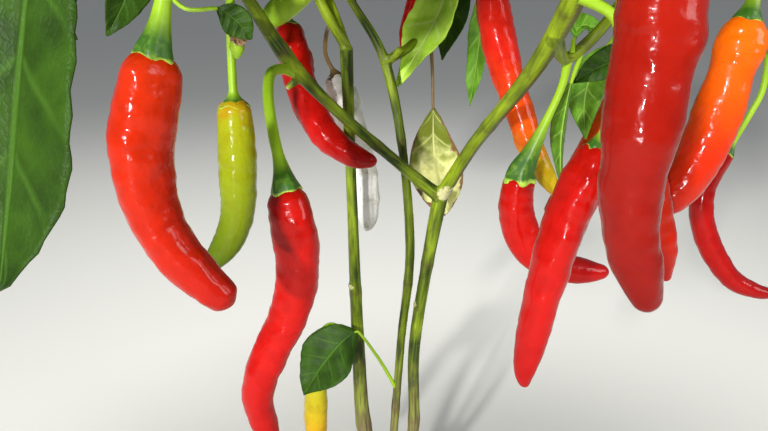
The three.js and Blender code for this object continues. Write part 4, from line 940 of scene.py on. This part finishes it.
def leaf_skin(name, blade, light, vein, edge=None, foot=None):
    """Leaf skin: a thin wax over green tissue. Side veins stand two ninths of the length apart,
    paler than the blade, which puffs up a little between them. A withered one is dry at its edge
    and darker olive towards its foot, partly its own green and partly painted shade."""
    material, tree, shader = new_material(name, {"Roughness": 0.46, "Specular IOR Level": 0.13})
    uv = add_node(tree, "TexCoord", {}, "UV")
    across = add_node(tree, "SeparateXYZ", {0: uv}, "X")
    along = across.node.outputs["Y"]
    across = add_node(tree, "Math", {0: across, 1: 2.0, 2: -1.0}, operation="MULTIPLY_ADD")
    across = add_node(tree, "Math", {0: across}, operation="ABSOLUTE")
    bow = add_node(tree, "Math", {0: across, 1: 0.8}, operation="POWER")
    bow = add_node(tree, "Math", {0: bow, 1: -VEIN_SLANT, 2: 4.0}, operation="MULTIPLY_ADD")
    phase = add_node(tree, "Math", {0: along, 1: VEINS, 2: bow}, operation="MULTIPLY_ADD")
    phase = add_node(tree, "Math", {0: phase, 1: 1.0}, operation="PINGPONG")
    side_vein = add_node(tree, "MapRange", {0: phase, 1: 0.18, 2: 0.0, 3: 0.0, 4: 0.7})
    fading = add_node(tree, "MapRange", {0: across, 1: 0.98, 2: 0.55})
    side_vein = add_node(tree, "Math", {0: side_vein, 1: fading}, operation="MULTIPLY")
    midrib = add_node(tree, "MapRange", {0: across, 1: 0.075, 2: 0.03})
    veins = add_node(tree, "Math", {0: side_vein, 1: midrib}, operation="MAXIMUM")
    place = add_node(tree, "TexCoord", {}, "Object")
    mottle = add_node(tree, "TexNoise", {"Vector": place, "Scale": 160.0, "Detail": 5.0})
    lit = add_node(tree, "MapRange", {0: mottle, 1: 0.35, 2: 0.68})
    colour = add_node(tree, "Mix", {0: lit, 6: blade, 7: light}, 2, data_type="RGBA")
    if foot:
        # Partly painted shade: a darker olive towards the foot of the leaf
        ragged = add_node(tree, "Math", {0: mottle, 1: 0.5, 2: along}, operation="MULTIPLY_ADD")
        shaded_footing = add_node(tree, "MapRange", {0: ragged, 1: 0.84, 2: 0.54})
        colour = add_node(tree, "Mix", {0: shaded_footing, 6: colour, 7: foot}, 2, data_type="RGBA")
    colour = add_node(tree, "Mix", {0: veins, 6: colour, 7: vein}, 2, data_type="RGBA")
    if edge:
        ragged = add_node(tree, "Math", {0: mottle, 1: 1.2, 2: across}, operation="MULTIPLY_ADD")
        rim = add_node(tree, "MapRange", {0: ragged, 1: 1.44, 2: 1.56})
        colour = add_node(tree, "Mix", {0: rim, 6: colour, 7: edge}, 2, data_type="RGBA")
    puffs = add_node(tree, "Math", {0: phase, 1: 0.6}, operation="MULTIPLY")
    puffs = add_node(tree, "Math", {0: mottle, 1: 0.5, 2: puffs}, operation="MULTIPLY_ADD")
    puffs = add_node(tree, "Math", {0: midrib, 1: -0.8, 2: puffs}, operation="MULTIPLY_ADD")
    net = add_node(tree, "TexVoronoi", {"Vector": place, "Scale": 760.0}, feature="DISTANCE_TO_EDGE")
    net = add_node(tree, "MapRange", {0: net, 1: 0.0, 2: 0.2, 3: 0.0, 4: 0.1})
    puffs = add_node(tree, "Math", {0: puffs, 1: net}, operation="ADD")
    relief = add_node(tree, "Bump", {"Height": puffs, "Strength": 0.6, "Distance": 0.0009})
    set_inputs(shader, {"Base Color": colour, "Normal": relief})
    return material


leaf_skins = {
    # Partly painted light: a brighter yellow-green than the leaf's own, for a sunlit leaf
    "bright_and_sunlit": leaf_skin("leaf_bright_and_sunlit", "#a8d836", "#c8ee5c", "#d8f08a"),
    "fresh": leaf_skin("leaf_fresh", "#4c7a1a", "#6a9c28", "#94ba4c"),
    # Partly painted shade: a darker green than the leaf's own, for leaves that hang in shade
    "dark_and_shaded": leaf_skin("leaf_dark_and_shaded", "#233c09", "#34540f", "#3f6219"),
    "withered": leaf_skin("leaf_withered", "#d8da80", "#f2f0a8", "#cdd07e", edge="#7a5a38",
                          foot="#6f7a26"),
    "dried": leaf_skin("petal_dried", "#6f5238", "#a2825e", "#8d6f4c"),
}


def leaf_piece(name, stalk, midrib, width, waist, face, fold, wave, skin):
    """One leaf: a flat grid bent along its midrib and given its wall, with its leafstalk joined
    on. It stands for the solid of its name, where there is one."""
    bpy.ops.object.select_all(action="DESELECT")
    bpy.ops.mesh.primitive_grid_add(x_subdivisions=GRID_ACROSS, y_subdivisions=GRID_ALONG, size=2)
    blade, flat = newest_piece(f"{name}_blade")
    across, along = flat[:, 0], (flat[:, 1] + 1) / 2
    line = smooth_line(midrib, MIDRIB_STEPS)
    tangents = unit_rows(np.gradient(line, axis=0))
    step = np.clip(np.round(along * (MIDRIB_STEPS - 1)).astype(int), 0, MIDRIB_STEPS - 1)
    face = np.array(face, float)
    outlook = unit_rows(face - tangents * (tangents @ face)[:, None])
    aside = np.cross(tangents, outlook)
    half = leaf_outline(along, waist) * width / 2
    reach = np.abs(across) * half
    slope = math.radians(fold)
    lift = reach * math.sin(slope)
    lift += wave * across ** 2 * np.sin(along * MARGIN_WAVES + np.sign(across) * WAVE_OFFSET + width)
    veins = np.cos((along * VEINS - np.abs(across) * VEIN_SLANT) * 2 * math.pi)
    lift += VEIN_RELIEF * np.abs(across) * veins * np.minimum(half / VEIN_HALF_WIDTH, 1)
    corners = (line[step] + aside[step] * (np.sign(across) * reach * math.cos(slope))[:, None]
               + outlook[step] * lift[:, None])
    blade.data.vertices.foreach_set("co", (corners * MM).ravel())
    apply_modifier(blade, "SOLIDIFY", thickness=LEAF_WALL * MM, offset=0)
    blade.data.materials.append(leaf_skins[skin])
    stalk_line = smooth_line([*stalk, tuple(line[3])], LEAFSTALK_RINGS)
    stalk_radii = np.linspace(*LEAFSTALK_RADII, LEAFSTALK_RINGS)
    leafstalk = one_mesh(f"{name}_stalk", *tube(stalk_line, stalk_radii, LEAFSTALK_SIDES))
    add_attribute(leafstalk, "rim", np.zeros(len(leafstalk.data.vertices)))
    is_dry = skin in ("withered", "dried")
    leafstalk.data.materials.append(dried_stalk if is_dry else fresh_stalk)
    pick(leafstalk, blade)
    bpy.ops.object.join()
    blade.data.shade_smooth()
    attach(blade, "root")
    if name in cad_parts:
        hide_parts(name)


for name, leaf in LEAVES.items():
    leaf_piece(name, **leaf)


# Foliage: the crown, thirteen masses that each grow from the tip of a bough. A twig forks again
# and again, finer each time, bears a leaf on a leafstalk at each node and a pepper here and there,
# and keeps to its own mass's space within the crown's outline.
PLANT_HEIGHT = 640
CROWN_RADIUS = 240
CROWN_WAIST = 425  # height at which the crown is widest
CROWN_HEM = 290
OPEN_VIEW = 345  # nothing grows below this height, except at the back
OPEN_VIEW_BACK = 60
CLEARANCE = 1.2
GAP = 0.3  # between a bough's tip and the stem of its mass in the solids
UP = Vector((0, 0, 1))


class Stretches:
    """Straight stretches with a radius, such as a bit of a limb, that new growth keeps off."""

    def __init__(self, room):
        self.starts, self.ends, self.radii = np.empty((room, 3)), np.empty((room, 3)), np.empty(room)
        self.count = 0

    def add(self, start, end, radius):
        self.starts[self.count], self.ends[self.count] = start, end
        self.radii[self.count] = radius
        self.count += 1

    def are_clear_of(self, start, end, least):
        """Whether each is further than least and its radius from the stretch start to end."""
        start, end = np.array(start), np.array(end)
        starts, ends = self.starts[:self.count], self.ends[:self.count]
        u, v, w = end - start, ends - starts, start - starts
        uu, vv = u @ u, (v * v).sum(1)
        uv, uw, vw = v @ u, w @ u, (v * w).sum(1)
        spread = uu * vv - uv * uv
        s = np.where(spread > 1e-6, np.clip((uv * vw - vv * uw) / np.maximum(spread, 1e-6), 0, 1), 0)
        t = np.clip((uv * s + vw) / vv, 0, 1)
        s = np.clip((uv * t - uw) / uu, 0, 1)
        apart = np.linalg.norm(start + u * s[:, None] - starts - v * t[:, None], axis=1)
        return bool((apart > self.radii[:self.count] + least).all())


ROD_STEP = 16
LEAST_RODS = 4
POD_RODS = 5
LEAF_RODS = 2
ROD_POINTS = 60
STALK_ROD_RADIUS = 2.2
rods = Stretches(room=600)


def keep_clear_of(points, radii, steps):
    """Lays rods, as many as steps, along a limb, a pepper or a leaf."""
    places = np.linspace(0, len(points) - 1, steps + 1).round().astype(int)
    for a, b in zip(places, places[1:]):
        rods.add(points[a, :3], points[b, :3], max(radii[a], radii[b]))


for limb_name, points in limb_lines.items():
    keep_clear_of(points, girth_radii(LIMBS[limb_name][1], len(points)),
                  max(LEAST_RODS, round(length_of(points) / ROD_STEP)))
for name, pepper in PODS.items():
    keep_clear_of(smooth_line([*pepper["stalk"], pepper["pod"][0][:3]], ROD_POINTS),
                  np.full(ROD_POINTS, STALK_ROD_RADIUS), LEAST_RODS)
    keep_clear_of(pod_lines[name], pod_lines[name][:, 3], POD_RODS)
for leaf in LEAVES.values():
    keep_clear_of(smooth_line(leaf["midrib"], ROD_POINTS), np.full(ROD_POINTS, leaf["width"] / 3),
                  LEAF_RODS)


def in_space(point, mass, outline=1.0, overhang=0.0):
    """Whether a point is inside the crown's outline, in this mass's own space, and not in the
    open view in front of the stems. A leaf may overhang the next mass's space a little."""
    half = PLANT_HEIGHT - CROWN_WAIST if point.z > CROWN_WAIST else CROWN_WAIST - CROWN_HEM
    width = point.xy.length / CROWN_RADIUS
    if width ** 2 + ((point.z - CROWN_WAIST) / half) ** 2 > outline ** 2:
        return False
    if point.z < OPEN_VIEW and point.y < OPEN_VIEW_BACK:
        return False
    for other in masses.values():
        if other is not mass:
            axis = (other["centre"] - mass["centre"]).normalized()
            if (point - (other["centre"] + mass["centre"]) / 2).dot(axis) >= overhang - CLEARANCE:
                return False
    return True


SEED_RANGE = 2 ** 32


def next_seed(seed):
    """The next whole number of a linear congruential row."""
    return (seed * 1664525 + 1013904223) % SEED_RANGE


def draws_of(seed, count):
    """Draws from 0 to 1 that follow from a seed alone."""
    draws = []
    for _ in range(count):
        seed = next_seed(seed)
        draws.append(seed / SEED_RANGE)
    return draws


def child_seed(seed, arm):
    """The seed of the first or second arm of a fork."""
    return next_seed(seed ^ ((arm + 1) * 374761393 % SEED_RANGE))


def turned_about(vector, axis, degrees):
    return Quaternion(axis, math.radians(degrees)) @ vector


INWARD_PULLS = [0, 0.7, 1.6]
FREE_ROOT = 0.3  # share of a twig, from its root, that may lie close to the limb it springs from


def find_way(mass, start, direction, length, radius, outline):
    """The way a twig takes: straight on, or turned inwards where that would leave its space."""
    inwards = (mass["centre"] - start).normalized()
    for pull in INWARD_PULLS:
        heading = (direction + inwards * pull).normalized()
        end = start + heading * length
        clear = rods.are_clear_of(start.lerp(end, FREE_ROOT), end, radius + CLEARANCE)
        if clear and in_space(end, mass, outline):
            return heading, end
    return None


# The blade of a leaf of the crown: two thin sheets that meet at the margin. Rows from root to
# tip, each with five corners on the upper face and three more on the lower one.
BLADE_ROWS = np.array([0.05, 0.14, 0.27, 0.41, 0.55, 0.69, 0.82, 0.93])
ROW_CORNERS = [(-1, 0), (-0.5, 1), (0, 1), (0.5, 1), (1, 0), (-0.5, -1), (0, -1), (0.5, -1)]
UPPER, LOWER = (0, 1, 2, 3, 4), (0, 5, 6, 7, 4)
CROWN_LEAF_WAIST = 0.4
row_across, row_side = np.array(ROW_CORNERS, float).T
blade_across = np.concatenate([[0], np.tile(row_across, len(BLADE_ROWS)), [0]])
blade_side = np.concatenate([[0], np.tile(row_side, len(BLADE_ROWS)), [0]])
blade_along = np.concatenate([[0], np.repeat(BLADE_ROWS, len(ROW_CORNERS)), [1]])
blade_half = leaf_outline(blade_along, CROWN_LEAF_WAIST)
row_size = len(ROW_CORNERS)
last = 1 + (len(BLADE_ROWS) - 1) * row_size
tip = last + row_size
blade_faces = []
for k in range(len(UPPER) - 1):
    blade_faces.append((0, 1 + UPPER[k], 1 + UPPER[k + 1]))
    blade_faces.append((0, 1 + LOWER[k + 1], 1 + LOWER[k]))
    for a in range(1, last, row_size):
        b = a + row_size
        blade_faces.append((a + UPPER[k], b + UPPER[k], b + UPPER[k + 1], a + UPPER[k + 1]))
        blade_faces.append((a + LOWER[k + 1], b + LOWER[k + 1], b + LOWER[k], a + LOWER[k]))
    blade_faces.append((last + UPPER[k], tip, last + UPPER[k + 1]))
    blade_faces.append((last + LOWER[k + 1], tip, last + LOWER[k]))


LEAST_FOLD, MORE_FOLD = 0.12, 0.3
LEAST_CURL, MORE_CURL = 0.05, 0.2
CURL_SHORTENING = 0.6
MOST_WAVE = 0.9
SMALL_LEAF_WAVES, WAVE_SHIFT = 7, 6  # radians of the margin's wave, and how far draws shift it
HALF_WALL = 0.22


def blade_corners(root, direction, normal, length, width, draws):
    """One blade: folded along its midrib, its tip curled down and its margin a little wavy."""
    fold, curl = LEAST_FOLD + MORE_FOLD * draws[0], LEAST_CURL + MORE_CURL * draws[1]
    side = np.cross(direction, normal)
    reach = blade_half * width / 2
    waves = np.sin(SMALL_LEAF_WAVES * blade_along + WAVE_SHIFT * draws[1] + blade_across)
    lift = np.abs(blade_across) * reach * fold - curl * length * blade_along ** 2
    lift += MOST_WAVE * draws[2] * np.abs(blade_across) * waves
    lift += HALF_WALL * blade_side
    ahead = blade_along * length * (1 - CURL_SHORTENING * curl * blade_along)
    return (root + np.outer(ahead, direction) + np.outer(blade_across * reach, side)
            + np.outer(lift, normal))


LEAF_LENGTH = 57
LEAF_WIDTH = 27
LEAFSTALK = 13
LEAF_FORWARD = 0.6  # how far a leaf points along its twig, to one aside
LEAF_SAG, DROOP_SAG = 0.25, 0.5
LEAF_ROLL = 50
LEAF_TURNS = [0, 120, 240]
LEAF_WIDEST = 0.42
LEAF_ROOM = 0.36  # share of its width by which a leaf stays off limbs and peppers
LEAF_HEART, LEAF_POINT = 0.05, 0.9  # other leaves keep LEAF_SPACING off the stretch between
LEAF_SPACING = 8
LEAF_OVERHANG = 14
LEAF_OUTLINE = 0.995  # how near the tips of leaves come to the crown's outline
LEAF_SALT = 7  # sets a leaf's draws apart from its twig's
SMALL_STALK_RADII = np.array([0.75, 0.6, 0.55, 0.5])
SMALL_STALK_SIDES = 5
SMALL_STALK_BOW = 1.2
SMALL_STALK_LAP = 0.04  # share of the leaf that its stalk runs on under
LEAF_TINTS = {  # colour, and the share of the sprays up to which it goes
    "deep": ("#2c5016", 0.26), "mid": ("#406a1c", 0.62), "fresh": ("#5b8c26", 0.87),
    "young": ("#84a832", 0.975), "pale": ("#a7b650", 1)}
FRUIT_TINTS = {  # the same for the small peppers
    "red": ("#b0110b", 0.6), "orange": ("#cc400b", 0.72), "green": ("#5c8a1e", 1)}
twig_heap = Heap()
cap_heap = Heap()
leaf_heaps = {tint: Heap() for tint in LEAF_TINTS}
fruit_heaps = {tint: Heap() for tint in FRUIT_TINTS}
growth = Stretches(room=9000)


def tint_for(draw, tints):
    return next(tint for tint, (_, limit) in tints.items() if draw < limit)


def add_blade(mass, node, along, across, turn, droop, size, seed, twig_radius):
    """A leaf at a node of a twig. Where its side has no room it turns round the twig."""
    length, width = LEAF_LENGTH * size, LEAF_WIDTH * size
    for extra in LEAF_TURNS:
        aside = turned_about(across, along, turn + extra)
        direction = along * LEAF_FORWARD + aside
        direction.z -= LEAF_SAG + DROOP_SAG * droop
        direction.normalize()
        root = node + direction * LEAFSTALK * size
        tip = root + direction * length
        side = direction.cross(UP).normalized()
        middle = root.lerp(tip, LEAF_WIDEST)
        corners = [tip, middle + side * width / 2, middle - side * width / 2]
        if not all(in_space(corner, mass, LEAF_OUTLINE, LEAF_OVERHANG) for corner in corners):
            continue
        if not rods.are_clear_of(node, tip, width * LEAF_ROOM + CLEARANCE):
            continue
        heart, point = root.lerp(tip, LEAF_HEART), root.lerp(tip, LEAF_POINT)
        if not growth.are_clear_of(heart, point, LEAF_SPACING):
            continue
        growth.add(heart, point, 0)
        draws = draws_of(seed ^ round(turn + extra + LEAF_SALT), 4)
        roll = LEAF_ROLL * (draws[3] - 0.5)
        normal = np.array(turned_about(side.cross(direction), direction, roll))
        root, heading = np.array(root), np.array(direction)
        tint = tint_for(draws_of(seed, 9)[8], LEAF_TINTS)  # the draw after the twig's own eight
        leaf_heaps[tint].add(blade_corners(root, heading, normal, length, width, draws), blade_faces)
        foot = np.array(node) - heading * twig_radius / 2
        bow = (foot + root) / 2 + normal * SMALL_STALK_BOW
        stalk = smooth_line([foot, bow, root + heading * length * SMALL_STALK_LAP],
                            len(SMALL_STALK_RADII))
        twig_heap.add(*tube(stalk, SMALL_STALK_RADII * size, SMALL_STALK_SIDES))
        return


FRUIT_CHANCE = 0.17
FINE_FRUIT_CHANCE = 0.16
FRUIT_LENGTH = 74
FRUIT_RADIUS = 6.6
LEAST_LENGTH, MORE_LENGTH = 0.65, 0.5  # shares of FRUIT_LENGTH
LEAST_GIRTH, MORE_GIRTH = 0.85, 0.15  # shares of FRUIT_RADIUS
FRUIT_BEND, FRUIT_HOOK = 0.06, 0.05  # how far its middle bows out and its tip turns back
FRUIT_TAPER = 0.3
FRUIT_SHOULDER, FRUIT_TIP = 0.12, 0.25  # shares of the length over which its ends are rounded
FRUIT_LOBES, FRUIT_LOBE_FADE = 0.07, 4
FRUIT_DENTS, FRUIT_DENT_WAVES = 0.06, 9
FRUIT_LEAST = 0.12  # radius
FRUIT_ROD = 0.6  # share of its radius that other growth keeps off
FRUIT_SALT = 55  # sets its draws apart from its twig's
FRUIT_SPACING = 4
FRUIT_SIDES = 12
FRUIT_RINGS = np.array([0, 0.02, 0.06, 0.12, 0.22, 0.36, 0.52, 0.68, 0.8, 0.89, 0.95, 0.985, 1])
FRUIT_STEPS = 120
STALK_LENGTH = 30
STALK_SHOULDER = 0.4  # where a stalk turns down, as a share of its length
STALK_OUT, STALK_DOWN = 0.55, 0.7  # where it ends
STALK_LAP = 0.4
STALK_RADIUS = 1.25
STALK_STEPS = 12
STALK_SIDES = 10
SMALL_CAP_SHARE = 0.78  # of the pepper's radius that its cap covers
SMALL_CAP_CONE, SMALL_CAP_LATENESS = 0.3, 1.6


def add_small_pepper(mass, node, across, turn, share, seed):
    """A small pepper hangs straight down beside a fork."""
    aside = turned_about(across, UP, 360 * turn)
    aside.z = 0
    aside.normalize()
    length = FRUIT_LENGTH * (LEAST_LENGTH + MORE_LENGTH * share)
    radius = FRUIT_RADIUS * (LEAST_GIRTH + MORE_GIRTH * share)
    shoulder = node + aside * STALK_LENGTH * STALK_SHOULDER
    base = node + aside * STALK_LENGTH * STALK_OUT - UP * STALK_LENGTH * STALK_DOWN
    bend = base + aside * length * FRUIT_BEND - UP * length * 0.5
    tip = base - aside * length * FRUIT_HOOK - UP * length
    if not all(in_space(point, mass) for point in (base, tip, bend)):
        return
    if not rods.are_clear_of(base, tip, radius + CLEARANCE):
        return
    if not growth.are_clear_of(base, tip, FRUIT_SPACING):
        return
    growth.add(base, tip, radius * FRUIT_ROD)
    draws = draws_of(seed ^ FRUIT_SALT, 3)
    line = smooth_line([tuple(base), tuple(bend), tuple(tip)], FRUIT_STEPS)
    t = FRUIT_RINGS
    radii = radius * (1 - FRUIT_TAPER * t) * rounding(t, FRUIT_SHOULDER) * rounding(1 - t, FRUIT_TIP)
    angles, down = angles_round(FRUIT_SIDES)[None, :], t[:, None]
    lobes = np.cos(LOBE_COUNT * angles + 6 * draws[1]) * np.exp(-down * FRUIT_LOBE_FADE)
    dents = np.sin(FRUIT_DENT_WAVES * down + 2 * angles + 9 * draws[2])
    ripple = 1 + FRUIT_LOBES * lobes + FRUIT_DENTS * dents
    rings = line[(t * (FRUIT_STEPS - 1)).round().astype(int)]
    fruit_heaps[tint_for(draws[0], FRUIT_TINTS)].add(
        *tube(rings, np.maximum(radii, FRUIT_LEAST)[:, None] * ripple, FRUIT_SIDES))
    stalk = smooth_line([tuple(node), tuple(shoulder), tuple(base - UP * STALK_LAP)], STALK_STEPS)
    left = np.linspace(1, 0, STALK_STEPS)
    flare = np.clip(1 - left / SMALL_CAP_CONE, 0, 1) ** SMALL_CAP_LATENESS
    radii = STALK_RADIUS * (1 - flare) + (radius * SMALL_CAP_SHARE) * flare
    cap_heap.add(*tube(stalk, radii, STALK_SIDES))


ROOT_LENGTH = 26
TWIG_LENGTH = 42
TWIG_RADIUS = 1.9
TWIG_RINGS = 7
TWIG_SIDES, FINE_TWIG_SIDES = 8, 6
TWIG_BOW = 0.05
ROOT_SINK = 1.5  # how far a mass's stem is sunk in its bough
FORK_SWELL, FORK_REACH = 0.22, 0.1
SOLID_LEVELS = 3  # forkings that the solids have
FINE_LEVELS = 5  # forkings in all
FINE_OUTLINE = 0.93  # where the finer twigs end, so that leaves and not bare tips make the outline
LENGTH_RATIO = 0.86
RADIUS_RATIO = 0.8
FORK_ANGLE = 26
FORK_SPREAD = 12
LIFT = 0.1
FINE_LIFT = 0.5  # the finer twigs turn up to the light
LEAST_TURN, MORE_TURN = 75, 30  # of each fork about its twig, in degrees
LEAST_LEAF, MORE_LEAF = 0.75, 0.4  # sizes of the leaves
LEAF_PLACES = {2: [0.4, 0.75, 1]}  # where leaves stand along a twig, by its level
OTHER_LEAF_PLACES = [0.5, 1]
LEAF_STEP = 140  # degrees round the twig from leaf to leaf
END_LEAVES = 3
END_TURN, END_STEP = 75, 115
END_DROOP = 0.6
END_SIZE, END_SHRINK = 0.9, 0.14


def grow_twig(mass, start, direction, across, length, radius, level, seed):
    """One twig with its leaves and perhaps a pepper, and the two twigs of the fork at its end."""
    roll, arm_a, arm_b, leaf_turn, droop, leaf_size, fruit_draw, fruit_turn = draws_of(seed, 8)
    outline = 1 if level <= SOLID_LEVELS else FINE_OUTLINE
    way = find_way(mass, start, direction, length, radius, outline)
    if way is None:
        return []
    heading, end = way
    sunk = start - heading * (GAP + ROOT_SINK if level == 0 else radius)
    bow = start.lerp(end, 0.5) + across * length * TWIG_BOW * (roll - 0.5)
    steps = np.linspace(0, 1, TWIG_RINGS)
    swell = 1 + FORK_SWELL * np.exp(-((steps - 1) / FORK_REACH) ** 2)
    radii = radius * (1 + (RADIUS_RATIO - 1) * steps) * swell
    line = smooth_line([tuple(sunk), tuple(bow), tuple(end)], TWIG_RINGS)
    twig_heap.add(*tube(line, radii, TWIG_SIDES if level < SOLID_LEVELS else FINE_TWIG_SIDES))
    turned = turned_about(across, heading, LEAST_TURN + MORE_TURN * roll)
    size = LEAST_LEAF + MORE_LEAF * leaf_size
    turn = 360 * leaf_turn
    for k, place in enumerate(LEAF_PLACES.get(level, OTHER_LEAF_PLACES)):
        add_blade(mass, start.lerp(end, place), heading, turned, turn + LEAF_STEP * k, droop, size,
                  seed, radius)
    if level >= SOLID_LEVELS:
        for k in range(END_LEAVES if level == FINE_LEVELS else 1):
            add_blade(mass, end, heading, turned, turn + END_TURN + END_STEP * k, droop * END_DROOP,
                      size * (END_SIZE - END_SHRINK * k), seed ^ (k + 1), radius)
    chance = FRUIT_CHANCE if level < SOLID_LEVELS else FINE_FRUIT_CHANCE
    if 0 < level < FINE_LEVELS and fruit_draw < chance:
        add_small_pepper(mass, end, turned, fruit_turn, fruit_draw / chance, seed)
    if level == FINE_LEVELS:
        return []
    fork = []
    lift = LIFT if level < SOLID_LEVELS else FINE_LIFT
    for arm, draw in enumerate((arm_a, arm_b)):
        angle = (FORK_ANGLE + FORK_SPREAD * draw) * (1 if arm == 0 else -1)
        heads = (turned_about(heading, turned, angle) + UP * lift).normalized()
        fork.append((end, heads, turned, TWIG_LENGTH if level == 0 else length * LENGTH_RATIO,
                     radius * RADIUS_RATIO, level + 1, child_seed(seed, arm)))
    return fork


FIRST_SEED, SEED_STEP = 9001, 7919  # as in the solids' rule
waiting = []
for order, mass in enumerate(masses.values()):
    path = limb_lines[mass["limb"]]
    heading = Vector(path[-1] - path[-2]).normalized()
    waiting.append((mass, Vector(path[-1]) + heading * GAP, heading, heading.cross(UP).normalized(),
                    ROOT_LENGTH, TWIG_RADIUS, 0, FIRST_SEED + SEED_STEP * order))
while waiting:
    mass, *twig = waiting.pop(0)
    waiting.extend((mass, *child) for child in grow_twig(mass, *twig))

foliage_nodes = [f"foliage_{name}" for name in masses]
# Young bark of the twigs and leafstalks: smooth and green, with a dull wax
twig_skin, _, _ = new_material("twig_skin", {"Base Color": "#5a7f2d", "Roughness": 0.5})
dress(twig_heap.as_object("foliage_twigs"), twig_skin, "foliage", *foliage_nodes)
# Skin of the small peppers' stalks and caps: fleshier, so a little fresher and shinier
cap_skin, _, _ = new_material("small_cap_skin", {"Base Color": "#5f8a2c", "Roughness": 0.42})
dress(cap_heap.as_object("foliage_pepper_stalks"), cap_skin, "stem", *foliage_nodes)
for tint, (code, _) in LEAF_TINTS.items():
    # Leaf skin seen from a step away: a soft wax gloss over plain green
    blade_skin, _, _ = new_material(f"crown_leaf_{tint}", {"Base Color": code, "Roughness": 0.45})
    dress(leaf_heaps[tint].as_object(f"foliage_leaves_{tint}"), blade_skin, "foliage", *foliage_nodes)
for tint, (code, _) in FRUIT_TINTS.items():
    # Waxed pod skin of the small peppers: a hard gloss over the ripe or unripe colour
    fruit_skin, _, _ = new_material(f"small_pod_{tint}", {
        "Base Color": code, "Roughness": 0.24, "Coat Weight": 0.2, "Coat Roughness": 0.06})
    dress(fruit_heaps[tint].as_object(f"foliage_peppers_{tint}"), fruit_skin, f"pepper_{tint}",
          *foliage_nodes)
